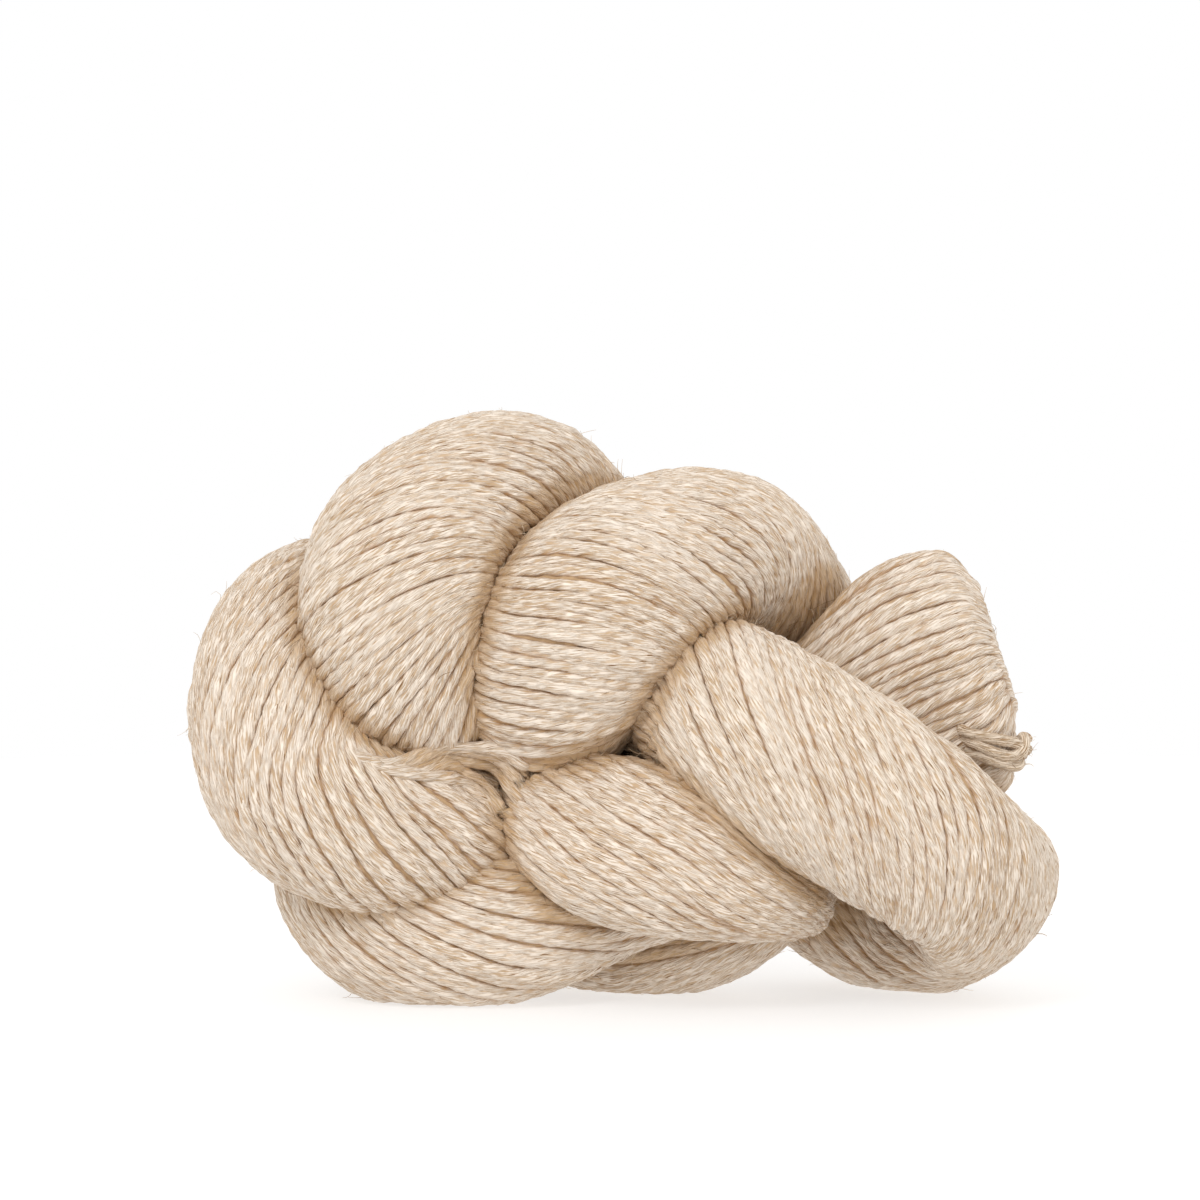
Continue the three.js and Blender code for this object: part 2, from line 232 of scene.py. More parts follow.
class Slot(str, Enum):
    """Material slots of the record."""

    YARN = "yarn"
    TIE = "tie"


def unit(vectors: np.ndarray) -> np.ndarray:
    """Vectors of length one along the last axis."""
    return vectors / np.maximum(np.linalg.norm(vectors, axis=-1, keepdims=True), 1e-9)


def gone_along(points: np.ndarray) -> np.ndarray:
    """Distance along a line of points at each of them."""
    return np.concatenate([[0.0], np.cumsum(np.linalg.norm(np.diff(points, axis=0), axis=1))])


def unbroken(index: np.ndarray) -> list[np.ndarray]:
    """The stretches of a rising index in which each number follows on the last."""
    return np.split(index, np.flatnonzero(np.diff(index) > 1) + 1)


def both_sides(gaps: np.ndarray) -> tuple[np.ndarray, np.ndarray]:
    """The gap before and after each of a row of turns, where the outermost ones have the same for both."""
    return np.vstack([gaps[:1], gaps]), np.vstack([gaps, gaps[-1:]])


def windows(values: np.ndarray, reach: int) -> np.ndarray:
    """Each value with its neighbours, the first and last repeated past the ends.

    Args:
        values: numbers in a row.
        reach: how many neighbours are taken on each side.

    Returns:
        One row of neighbours for each value.
    """
    padded = np.pad(values, reach, mode="edge")
    return np.lib.stride_tricks.sliding_window_view(padded, 2 * reach + 1)


def curve_through(rows: np.ndarray, per_gap: int, closed: bool = False) -> np.ndarray:
    """Rows blended along a Catmull-Rom curve.

    Args:
        rows: one row of numbers for each station.
        per_gap: rows made for each gap between stations.
        closed: True if the last station runs on into the first.

    Returns:
        The blended rows, the last station or the first one again at the end.
    """
    if closed:
        padded = np.vstack([rows[-1:], rows, rows[:2]])
    else:
        padded = np.vstack([2 * rows[0] - rows[1], rows, 2 * rows[-1] - rows[-2]])
    t = (np.arange(per_gap) / per_gap)[:, None]
    out = []
    for a, b, c, d in zip(padded, padded[1:], padded[2:], padded[3:]):
        slope = c - a
        bend = 2 * a - 5 * b + 4 * c - d
        twist = 3 * b - a - 3 * c + d
        out.append(0.5 * (2 * b + slope * t + bend * t**2 + twist * t**3))
    out.append(rows[:1] if closed else rows[-1:])
    return np.vstack(out)


def at_even_steps(rows: np.ndarray, step: float) -> np.ndarray:
    """The rows again at even steps along their first three columns.

    Args:
        rows: rows whose first three columns are a place.
        step: distance between the new rows.

    Returns:
        The new rows.
    """
    gone = gone_along(rows[:, :3])
    count = max(int(round(gone[-1] / step)), 1) + 1
    wanted = np.linspace(0.0, gone[-1], count)
    return np.stack([np.interp(wanted, gone, column) for column in rows.T], axis=1)


def smooth_noise(seed: int, *coordinates: np.ndarray) -> np.ndarray:
    """Smooth noise of about -1 to 1, a sum of waves in seeded directions.

    Args:
        seed: seed of the waves.
        coordinates: arrays that broadcast together, one for each axis, in wavelengths.

    Returns:
        The noise at each place.
    """
    waves, height = 7, 0.7
    slow, fast = 0.6, 1.6
    rng = np.random.default_rng(seed)
    total = np.zeros(np.broadcast(*coordinates).shape)
    for _ in range(waves):
        way = rng.normal(size=len(coordinates))
        way *= rng.uniform(slow, fast) / np.linalg.norm(way)
        phase = rng.uniform(0, FULL_TURN)
        total = total + np.sin(FULL_TURN * sum(w * c for w, c in zip(way, coordinates)) + phase)
    return total / math.sqrt(waves / 2) * height


@dataclass
class Course:
    """A bundle's sections at even steps along it, in millimetres, with its own directions at each.

    Attributes:
        middle: middle of each section.
        along: direction of the bundle there.
        out: direction from the middle to its outermost line.
        side: direction across both.
        wide: half the section's size to the side.
        thick: half its size outwards.
        lay: slant of the turns in radians.
        spread: how far apart they lie, as a share of the usual pitch.
        step: distance between sections.
    """

    middle: np.ndarray
    along: np.ndarray
    out: np.ndarray
    side: np.ndarray
    wide: np.ndarray
    thick: np.ndarray
    lay: np.ndarray
    spread: np.ndarray
    step: float

    def place(self, angle: np.ndarray, inset: np.ndarray, index: np.ndarray | slice) -> np.ndarray:
        """Points inside the bundle's surface.

        Args:
            angle: angle round the section from its outermost line.
            inset: depth below the surface.
            index: the section of each point.

        Returns:
            The points.
        """
        across = (self.wide[index] - inset) * np.sin(angle)
        over = (self.thick[index] - inset) * np.cos(angle)
        beside = self.middle[index] + across[..., None] * self.side[index]
        return beside + over[..., None] * self.out[index]

    def girth(self, index: int) -> tuple[np.ndarray, np.ndarray]:
        """How far round a section each of its angles lies.

        Args:
            index: the section.

        Returns:
            Distances round it from its outermost line, and the angles that they go with.
        """
        angle = np.linspace(-math.pi, math.pi, GIRTH_POINTS)
        points = np.stack([self.wide[index] * np.sin(angle), self.thick[index] * np.cos(angle)], 1)
        gone = gone_along(points)
        return gone - gone[-1] / 2, angle


@dataclass
class SectionTable:
    """Stations of a bundle of elliptical section that leans on the rope's axis.

    Attributes:
        rows: the stations.
        closed: True for a ring.
        crowd: how much closer the turns lie where the bundle is thin.
    """

    rows: tuple
    closed: bool = False
    crowd: float = 0.0

    def course(self, step: float) -> Course:
        """The sections at even steps.

        Args:
            step: distance between sections.

        Returns:
            The course.
        """
        rows = at_even_steps(curve_through(np.array(self.rows, float), STATION_STEPS, self.closed), step)
        middle, axis = rows[:, :3], rows[:, 5:8]
        wide, thick, lay, spread = rows[:, [3, 4, 8, 9]].T
        along = unit(np.gradient(middle, axis=0))
        out = middle - axis
        out = unit(out - (out * along).sum(1, keepdims=True) * along)
        girth = wide + thick
        return Course(
            middle=middle,
            along=along,
            out=out,
            side=np.cross(along, out),
            wide=wide,
            thick=thick,
            lay=np.radians(lay),
            spread=spread * (girth / girth.max()) ** self.crowd,
            step=step,
        )


@dataclass
class FanTable:
    """Stations of the flat fan, each between an upper and a lower edge.

    Attributes:
        rows: the stations.
        lay: slant of its turns in degrees.
    """

    rows: tuple
    lay: float = -15.0

    def course(self, step: float) -> Course:
        """The sections at even steps along the middle of the fan.

        Args:
            step: distance between sections.

        Returns:
            The course.
        """
        rows = curve_through(np.array(self.rows, float), STATION_STEPS)
        upper_x, upper_z, lower_x, lower_z, y, thick, spread = rows.T
        upper = np.stack([upper_x, y, upper_z], 1)
        lower = np.stack([lower_x, y, lower_z], 1)
        sizes = np.stack([thick, spread], 1)
        even = at_even_steps(np.hstack([(upper + lower) / 2, (upper - lower) / 2, sizes]), step)
        middle, half, sizes = np.split(even, [3, 6], axis=1)
        wide = np.linalg.norm(half, axis=1)
        return Course(
            middle=middle,
            along=unit(np.gradient(middle, axis=0)),
            out=np.tile([0.0, -1.0, 0.0], (len(even), 1)),
            side=half / wide[:, None],
            wide=wide,
            thick=sizes[:, 0],
            lay=np.radians(np.full(len(even), self.lay)),
            spread=sizes[:, 1],
            step=step,
        )


@dataclass
class Turns:
    """Lengths of yarn as lines of points, with what each point knows of its yarn.

    Attributes:
        lines: the points of each length, in metres.
        tints: shade of each length, from 0 to 1.
        swells: thickness at each point, about 1.
        opens: how open the room above each point is, from 0 in a crease to 1.
    """

    lines: list = field(default_factory=list)
    tints: list = field(default_factory=list)
    swells: list = field(default_factory=list)
    opens: list = field(default_factory=list)

    def add(self, line: np.ndarray, tint: float, swell: np.ndarray, free: np.ndarray) -> None:
        """One more length of yarn.

        Args:
            line: its points in metres in the frame.
            tint: its own shade, from 0 to 1.
            swell: its thickness at each point, about 1.
            free: how open the room above each point is, from 0 in a crease to 1.
        """
        self.lines.append(line)
        self.tints.append(tint)
        self.swells.append(swell)
        self.opens.append(free)

    def lengths(self) -> zip:
        """Each length as what add takes."""
        return zip(self.lines, self.tints, self.swells, self.opens)

    def extend(self, others: "Turns") -> None:
        """Adds all lengths of another set."""
        for length in others.lengths():
            self.add(*length)

    def places(self) -> KDTree:
        """All points, to be searched.

        Returns:
            A search tree of the points.
        """
        points = np.concatenate(self.lines)
        tree = KDTree(len(points))
        for number, point in enumerate(points):
            tree.insert(Vector(point), number)
        tree.balance()
        return tree

    def parts(self, most_points: int) -> list["Turns"]:
        """The same lengths in parts that one piece can hold.

        Args:
            most_points: how many points a part may have.

        Returns:
            The parts.
        """
        parts = [Turns()]
        count = 0
        for length in self.lengths():
            if count + len(length[0]) > most_points:
                parts.append(Turns())
                count = 0
            parts[-1].add(*length)
            count += len(length[0])
        return parts

    def wires(self, name: str) -> bpy.types.Object:
        """An object of bare edges along the lines, with an attribute for each thing that a point knows.

        Args:
            name: name of the object.

        Returns:
            The object.
        """
        counts = [len(line) for line in self.lines]
        starts = np.concatenate([[0], np.cumsum(counts)[:-1]])
        edges = np.concatenate([
            np.stack([start + np.arange(count - 1), start + np.arange(1, count)], 1)
            for start, count in zip(starts, counts)
        ])
        mesh = bpy.data.meshes.new(name)
        points = np.concatenate(self.lines)
        mesh.vertices.add(len(points))
        mesh.vertices.foreach_set("co", points.ravel())
        mesh.edges.add(len(edges))
        mesh.edges.foreach_set("vertices", edges.ravel().astype(np.int32))
        gone = [gone_along(line) + TWIST_SHIFT * tint for line, tint in zip(self.lines, self.tints)]
        values = {
            "gone": np.concatenate(gone),
            "tint": np.repeat(self.tints, counts),
            "swell": np.concatenate(self.swells),
            "open": np.concatenate(self.opens),
        }
        for key, data in values.items():
            made = mesh.attributes.new(key, "FLOAT", "POINT")
            made.data.foreach_set("value", data.astype(np.float32))
        mesh.update()
        return linked(name, mesh)


def linked(name: str, data: bpy.types.ID) -> bpy.types.Object:
    """A new object of some data, in the scene.

    Args:
        name: name of the object.
        data: its mesh, camera or light.

    Returns:
        The object.
    """
    made = bpy.data.objects.new(name, data)
    bpy.context.scene.collection.objects.link(made)
    return made


@dataclass
class Outline:
    """The hank's CAD solid, asked how deep a point lies inside it and how much room is above it.

    Attributes:
        node: the CAD node.
        reach: how much room above a point, in millimetres, counts as open.
    """

    node: bpy.types.Object
    reach: float = 6.0

    def __post_init__(self) -> None:
        """Builds the search tree of the solid's faces."""
        mesh = self.node.data
        points = [v.co.copy() for v in mesh.vertices]
        self.tree = BVHTree.FromPolygons(points, [p.vertices[:] for p in mesh.polygons])

    def depth(self, points: np.ndarray) -> tuple[np.ndarray, np.ndarray]:
        """Depth of each point below the surface, in millimetres, negative outside.

        Args:
            points: places in metres.

        Returns:
            The depths, and the outward direction of the surface by each point.
        """
        depths = np.empty(len(points))
        outward = np.empty((len(points), 3))
        for i, point in enumerate(points):
            near, normal, _, distance = self.tree.find_nearest(Vector(point))
            inside = (Vector(point) - near).dot(normal) < 0
            depths[i] = distance / MM if inside else -distance / MM
            outward[i] = normal
        return depths, outward

    def openness(self, points: np.ndarray, depths: np.ndarray, outward: np.ndarray) -> np.ndarray:
        """How open the room above each point is.

        Args:
            points: places in metres.
            depths: their depths.
            outward: the outward direction by each.

        Returns:
            Numbers from 0 in a crease to 1 on an open side.
        """
        over = points + outward * ((self.reach + depths) * MM)[:, None]
        return np.clip(-self.depth(over)[0] / self.reach, 0.0, 1.0)


@dataclass(frozen=True)
class Sway:
    """A slow sway of the turns.

    Attributes:
        size: how far it goes.
        length: length of its waves along the bundle, or along the turn where it is the turn's own.
        breadth: breadth of its waves across the turns, where neighbours share it.
        apart: what keeps a turn's own sway apart from its other ones.
    """

    size: float
    length: float
    breadth: float = 1.0
    apart: float = 1.0


@dataclass
class Laying:
    """How yarn is laid on a bundle's surface. Lengths are in millimetres.

    Attributes:
        seed: seed of all that is random.
        reach: share of the way round a section that turns cover.
        steepest: least cosine of the lay by which a turn's length is reckoned.
        wave: sway that neighbours share, its breadth in millimetres.
        clump: sway that neighbours share, its breadth in turns.
        wander: sway that is each turn's own.
        bob: sway of each turn's depth.
        drift: sway of the turns that ride over others.
        crossing: share of such turns.
        rise: how far they lie above the others.
        uneven: spread of the turns' depths.
        clump_depth: how much deeper a clump lies.
        fill: share of the room to its neighbours that a turn's thickness takes.
        slack: how much less it takes where turns are spread.
        wider: share of the wider gap beside a turn in that room.
        each: share of each gap.
        finest: least thickness.
        fattest: most thickness.
        fewest: sections that a turn crosses at least.
        proud: how far a turn may stand out of the hank's surface.
        held: distance from the surface beyond which turns are pressed on it less and less.
        bury: turns deeper than this aren't made.
        clear: nor are they closer than this to turns that were there before.
        slide: from here on they dip under those.
        dip: by this much.
        dive: length over which each turn's ends sink, by half as much.
        shortest: least length of a turn.
        blur: points on each side over which the openness is evened out.
        slub: sway of a turn's thickness.
        off_table: height of a turn's middle above the table, in its own radii.
    """

    seed: int
    reach: float = 0.98
    steepest: float = 0.2
    wave: Sway = Sway(0.7, 60.0, 40.0)
    clump: Sway = Sway(0.15, 45.0, 5.0)
    wander: Sway = Sway(0.4, 42.0, apart=1.7)
    bob: Sway = Sway(0.14, 32.0, apart=2.3)
    drift: Sway = Sway(2.5, 60.0, apart=3.1)
    crossing: float = 0.03
    rise: float = 0.6
    uneven: float = 0.09
    clump_depth: float = 0.12
    fill: float = 0.6
    slack: float = 0.15
    wider: float = 0.4
    each: float = 0.3
    finest: float = 0.9
    fattest: float = 1.45
    fewest: int = 4
    proud: float = 0.5
    held: float = 9.0
    bury: float = 2.7
    clear: float = 1.0
    slide: float = 2.6
    dip: float = 1.4
    dive: float = 0.0
    shortest: float = 5.0
    blur: int = 3
    slub: Sway = Sway(0.04, 14.0)
    off_table: float = 1.04

    def tint_draws(self) -> np.random.Generator:
        """The draws of the turns' tints."""
        return np.random.default_rng(self.seed + TINT_SEED)

    def matrix(self, course: Course) -> tuple[np.ndarray, np.ndarray, np.ndarray, np.ndarray]:
        """Distance round the section, depth, thickness and validity of each turn at each section.

        Args:
            course: the bundle.

        Returns:
            Distance from the outermost line, inset below the surface, thickness that fills the room
            between the neighbours, and where the turn exists.
        """
        rng = np.random.default_rng(self.seed)
        gone = np.arange(len(course.middle)) * course.step
        outermost = course.middle + course.thick[:, None] * course.out
        stretch = np.linalg.norm(np.gradient(outermost, axis=0), axis=1) / course.step
        pitch = TURN_PITCH * course.spread
        climb = -np.cumsum(np.sin(course.lay) * stretch / pitch) * course.step
        steep = np.cos(course.lay)
        half = np.array([course.girth(i)[0][-1] for i in range(len(gone))]) * self.reach
        first = int(np.floor((climb - half * steep / pitch).min()))
        last = int(np.ceil((climb + half * steep / pitch).max()))
        number = np.arange(first, last + 1)
        level = len(number)
        riders = rng.choice(number, int(level * self.crossing), replace=False) + 0.5
        number = np.concatenate([number, riders])[:, None]
        rides = (np.arange(len(number)) >= level)[:, None]
        across = (number - climb[None, :]) * (pitch / steep)[None, :]
        own = rng.uniform(0, NOISE_SPAN, (len(number), 1))
        length = (np.cumsum(1 / np.maximum(steep, self.steepest)) * course.step)[None, :]

        def shared(offset: int, sway: Sway, beside: np.ndarray) -> np.ndarray:
            """A sway that neighbours share."""
            return smooth_noise(self.seed + offset, gone[None, :] / sway.length, beside / sway.breadth)

        def single(offset: int, sway: Sway) -> np.ndarray:
            """A sway that is each turn's own."""
            return smooth_noise(self.seed + offset, length / sway.length + own, own * sway.apart)

        clump = shared(3, self.clump, number)
        wave = self.wave.size * shared(1, self.wave, across)
        wander = self.wander.size * single(2, self.wander)
        across = across + (wave + wander + self.clump.size * clump) / steep
        across = across + np.where(rides, self.drift.size * single(5, self.drift), 0.0) / steep
        inset = TURN_RADIUS + rng.normal(0, self.uneven, (len(number), 1))
        inset = inset + self.bob.size * single(4, self.bob) + self.clump_depth * clump
        inset = inset - np.where(rides, self.rise, 0.0)
        swell = np.ones_like(across)
        swell[:level] = self._swell(across[:level], steep, course.spread)
        return across, inset, swell, np.abs(across) <= half[None, :]

    def _swell(self, across: np.ndarray, steep: np.ndarray, spread: np.ndarray) -> np.ndarray:
        """Thickness with which each turn fills the room to its neighbours.

        Args:
            across: distance of each turn from the outermost line at each section.
            steep: cosine of the lay at each section.
            spread: how far apart the turns lie at each section.

        Returns:
            The thickness of each turn at each section.
        """
        before, after = both_sides(np.abs(np.diff(across, axis=0)) * steep)
        room = self.wider * np.maximum(before, after) + self.each * (before + after)
        fill = self.fill - self.slack * (spread - 1)
        return np.clip(fill * room / TURN_RADIUS, self.finest, self.fattest)

    def lines(self, course: Course) -> list[tuple[np.ndarray, float]]:
        """The turns of a bundle as lines of points in millimetres with their thickness, each with a tint.

        Args:
            course: the bundle.

        Returns:
            Pairs of points and tint.
        """
        across, inset, swell, there = self.matrix(course)
        angle = np.empty_like(across)
        for i in range(len(course.middle)):
            angle[:, i] = np.interp(across[:, i], *course.girth(i))
        draws = self.tint_draws()
        made = []
        for turn, shown in enumerate(there):
            tint = float(draws.uniform())
            for run in unbroken(np.flatnonzero(shown)):
                if len(run) >= self.fewest:
                    place = course.place(angle[turn, run], inset[turn, run], run)
                    made.append((np.hstack([place, swell[turn, run, None]]), tint))
        return made

    def turns(
        self, lines: list[tuple[np.ndarray, float]], outline: Outline, taken: KDTree | None = None
    ) -> Turns:
        """The lines cut where they are buried in the hank, held off the table and made even.

        Args:
            lines: pairs of points in millimetres and tint.
            outline: the hank's solid.
            taken: places of other turns that these make room for.

        Returns:
            The turns.
        """
        made = Turns()
        for number, (line, tint) in enumerate(lines):
            line = at_even_steps(line, TURN_STEP)
            line[:, 2] = np.maximum(line[:, 2], TURN_RADIUS * line[:, 3] * self.off_table)
            place = (line[:, :3] - MIDDLE) * MM
            depth, outward = outline.depth(place)
            press = np.maximum(TURN_RADIUS - self.proud - depth, 0.0)
            press = np.minimum(press, np.maximum(2 * self.held - press, 0.0))
            gap = np.full(len(line), np.inf)
            if taken is not None:
                gap = np.array([taken.find(Vector(point))[2] / MM for point in place])
            press += np.clip(1 - gap / self.slide, 0, 1) * self.dip
            place = place - outward * (press * MM)[:, None]
            depth = depth + press
            for run in unbroken(np.flatnonzero((depth < self.bury) & (gap > self.clear))):
                if len(run) * TURN_STEP < self.shortest:
                    continue
                slub = smooth_noise(self.seed + number, run * TURN_STEP / self.slub.length)
                swell = line[run, 3] * (1 + self.slub.size * slub)
                free = outline.openness(place[run], depth[run], outward[run])
                free = windows(free, self.blur).mean(1)
                made.add(place[run] - outward[run] * self._sink(len(run))[:, None], tint, swell, free)
        return made

    def _sink(self, count: int) -> np.ndarray:
        """How far the ends of a turn sink.

        Args:
            count: number of its points.

        Returns:
            The depth in metres at each point.
        """
        from_start = np.arange(count)
        from_end = np.minimum(from_start, from_start[::-1]) * TURN_STEP
        sink = np.clip(1 - from_end / max(self.dive, TURN_STEP), 0, 1) ** 2 * self.dive / 2
        return sink * MM


@dataclass(frozen=True)
class SweptGroup:
    """A group of turns between two guide lines that are seen from the front, laid on the hank's surface.

    Attributes:
        seed: seed of all that is random.
        upper: guide line of its first turn.
        lower: guide line of its last turn.
        count: how many turns there are.
        above: how far they lie in front of the surface.
        soft: points on each side over which a turn keeps straight.
        sway: sway of each turn in height, its length in points.
        fill: share of the room to its neighbours that a turn's thickness takes.
        finest: least thickness.
        fattest: most thickness.
    """

    seed: int
    upper: tuple = SWEPT_UPPER
    lower: tuple = SWEPT_LOWER
    count: int = 5
    above: float = 0.25
    soft: int = 5
    sway: Sway = Sway(0.25, 30.0)
    fill: float = 0.58
    finest: float = 0.8
    fattest: float = 1.15

    def _on(self, outline: Outline, across: np.ndarray, height: np.ndarray) -> np.ndarray:
        """Places just under the hank's surface that the camera sees.

        Args:
            outline: the hank's solid.
            across: x of each place.
            height: height of each place in the picture.

        Returns:
            The places in millimetres.
        """
        tilt = math.radians(CAMERA_ELEVATION)
        ahead = Vector((0.0, math.cos(tilt), -math.sin(tilt)))
        places = []
        for x, h in zip(across, height):
            seen = Vector(((x - MIDDLE[0]) * MM, -MIDDLE[1] * MM, h / math.cos(tilt) * MM))
            hit, normal, _, _ = outline.tree.ray_cast(seen - ahead, ahead)
            if hit is None:
                hit, normal, _, _ = outline.tree.find_nearest(seen)
            places.append(np.array(hit - normal * TURN_RADIUS * MM) / MM + MIDDLE)
        return np.array(places)

    def lines(self, outline: Outline) -> list[tuple[np.ndarray, float]]:
        """The turns as lines of points in millimetres with their thickness, each with a tint.

        Args:
            outline: the hank's solid.

        Returns:
            Pairs of points and tint.
        """
        rng = np.random.default_rng(self.seed)
        weights = np.hanning(2 * self.soft + 3)[1:-1]
        weights = weights / weights.sum()
        made = []
        for share in np.linspace(0, 1, self.count):
            guide = (1 - share) * np.array(self.upper) + share * np.array(self.lower)
            flat = np.hstack([guide, np.zeros((len(guide), 1))])
            flat = at_even_steps(curve_through(flat, GUIDE_STEPS), TURN_STEP)
            steps = np.arange(len(flat)) / self.sway.length + rng.uniform(0, NOISE_SPAN)
            flat[:, 1] += self.sway.size * smooth_noise(self.seed + 1, steps)
            line = self._on(outline, flat[:, 0], flat[:, 1])
            line[:, 1] = windows(line[:, 1], self.soft).min(1)
            padded = np.pad(line, ((self.soft, self.soft), (0, 0)), mode="edge")
            line = np.stack([np.convolve(column, weights, "valid") for column in padded.T], 1)
            line[:, 1] -= self.above
            made.append(line)
        fewest = min(len(line) for line in made)
        picks = [np.linspace(0, len(line) - 1, fewest).round().astype(int) for line in made]
        evened = np.array([line[pick] for line, pick in zip(made, picks)])
        room = np.maximum(*both_sides(np.linalg.norm(np.diff(evened, axis=0), axis=2)))
        swells = np.clip(self.fill * room / TURN_RADIUS, self.finest, self.fattest)
        return [
            (np.hstack([line, swell[:, None]]), float(rng.uniform()))
            for line, swell in zip(evened, swells)
        ]


class Value:
    """A socket that carries a number, with Python's operators adding Math nodes."""

    def __init__(self, graph: "Graph", socket: bpy.types.NodeSocket) -> None:
        """Wraps one output of a node of the graph."""
        self.graph = graph
        self.socket = socket

    def _math(self, operation: str, *others: "Value | float", swap: bool = False) -> "Value":
        """A Math node of this and others.

        Args:
            operation: what the node does.
            others: further terms.
            swap: True if this comes last.

        Returns:
            The node's output.
        """
        terms = [*others, self] if swap else [self, *others]
        return self.graph.value("ShaderNodeMath", {"operation": operation}, dict(enumerate(terms)))

    def __add__(self, other: "Value | float") -> "Value":
        """Sum."""
        return self._math("ADD", other)

    __radd__ = __add__

    def __mul__(self, other: "Value | float") -> "Value":
        """Product."""
        return self._math("MULTIPLY", other)

    __rmul__ = __mul__

    def __sub__(self, other: "Value | float") -> "Value":
        """Difference."""
        return self._math("SUBTRACT", other)

    def __rsub__(self, other: "Value | float") -> "Value":
        """Difference the other way round."""
        return self._math("SUBTRACT", other, swap=True)

    def __truediv__(self, other: "Value | float") -> "Value":
        """Quotient."""
        return self._math("DIVIDE", other)

    def __rtruediv__(self, other: "Value | float") -> "Value":
        """Quotient the other way round."""
        return self._math("DIVIDE", other, swap=True)

    def cosine(self) -> "Value":
        """Cosine."""
        return self._math("COSINE")

    def sine(self) -> "Value":
        """Sine."""
        return self._math("SINE")

    def angle_to(self, other: "Value") -> "Value":
        """Angle whose tangent is this over the other."""
        return self._math("ARCTAN2", other)

    def ramp(self, low: float, high: float) -> "Value":
        """A smooth step from 0 where this is low to 1 where it is high.

        Args:
            low: where the step starts.
            high: where it ends, which may be the lower number.

        Returns:
            The step.
        """
        ends = {"Value": self, "From Min": low, "From Max": high}
        return self.graph.value("ShaderNodeMapRange", {"interpolation_type": "SMOOTHSTEP"}, ends)


class Graph:
    """A node tree, to which any node is added by one method."""

    def __init__(self, tree: bpy.types.NodeTree) -> None:
        """Wraps a tree."""
        self.tree = tree

    def node(self, kind: str, settings: dict | None = None, inputs: dict | None = None) -> bpy.types.Node:
        """A new node.

        Args:
            kind: the node's type.
            settings: properties that are set first.
            inputs: values, links or wrapped values by socket name or number.

        Returns:
            The node.
        """
        made = self.tree.nodes.new(kind)
        for key, value in (settings or {}).items():
            setattr(made, key, value)
        self.feed(made, inputs or {})
        return made

    def feed(self, node: bpy.types.Node, inputs: dict) -> None:
        """Sets or links some of a node's inputs.

        Args:
            node: the node.
            inputs: values, links or wrapped values by socket name or number.
        """
        for key, value in inputs.items():
            socket = node.inputs[key]
            if isinstance(value, Value):
                value = value.socket
            if isinstance(value, bpy.types.NodeSocket):
                self.tree.links.new(value, socket)
            else:
                socket.default_value = value

    def value(self, kind: str, settings: dict | None = None, inputs: dict | None = None) -> Value:
        """The first output of a new node as a wrapped value."""
        return Value(self, self.node(kind, settings, inputs).outputs[0])

    def attribute(self, name: str) -> Value:
        """A named number of the surface."""
        return Value(self, self.node("ShaderNodeAttribute", {"attribute_name": name}).outputs["Fac"])

    def mix(
        self, factor: Value, low: "bpy.types.NodeSocket | tuple", high: "bpy.types.NodeSocket | tuple"
    ) -> bpy.types.NodeSocket:
        """A colour mixed from two.

        Args:
            factor: share of the second.
            low: the first, a link or red, green and blue.
            high: the second.

        Returns:
            The mixed colour.
        """
        first, second, mixed = 6, 7, 2
        colours = {
            index: (*colour, 1.0) if isinstance(colour, tuple) else colour
            for index, colour in ((first, low), (second, high))
        }
        node = self.node("ShaderNodeMix", {"data_type": "RGBA"}, {"Factor": factor, **colours})
        return node.outputs[mixed]


def blank_material(name: str) -> tuple[bpy.types.Material, Graph, bpy.types.Node]:
    """A new material.

    Args:
        name: its name.

    Returns:
        The material, its node tree and its shader.
    """
    made = bpy.data.materials.new(name)
    made.use_nodes = True
    return made, Graph(made.node_tree), made.node_tree.nodes["Principled BSDF"]


@dataclass(frozen=True)
class Streaks:
    """Noise drawn out along the fibres.

    Attributes:
        width: how many waves it has from the yarn's middle to its side.
        length: how many it has in a metre of yarn.
        shift: how many waves a turn's tint shifts it by, so that no two turns are alike.
        detail: its fine detail.
    """

    width: float
    length: float
    shift: float
    detail: float

    def noise(self, graph: Graph, around: Value, across: Value, gone: Value, tint: Value) -> Value:
        """The noise.

        Args:
            graph: the material's node tree.
            around: cosine of the angle round the yarn that turns with its fibres.
            across: sine of that angle.
            gone: distance along the yarn.
            tint: tint of the turn.

        Returns:
            The noise.
        """
        place = {0: around * self.width, 1: across * self.width, 2: gone * self.length + tint * self.shift}
        point = graph.node("ShaderNodeCombineXYZ", None, place).outputs[0]
        inputs = {"Vector": point, "Scale": 1.0, "Detail": self.detail, "Roughness": 0.6}
        return graph.value("ShaderNodeTexNoise", None, inputs)


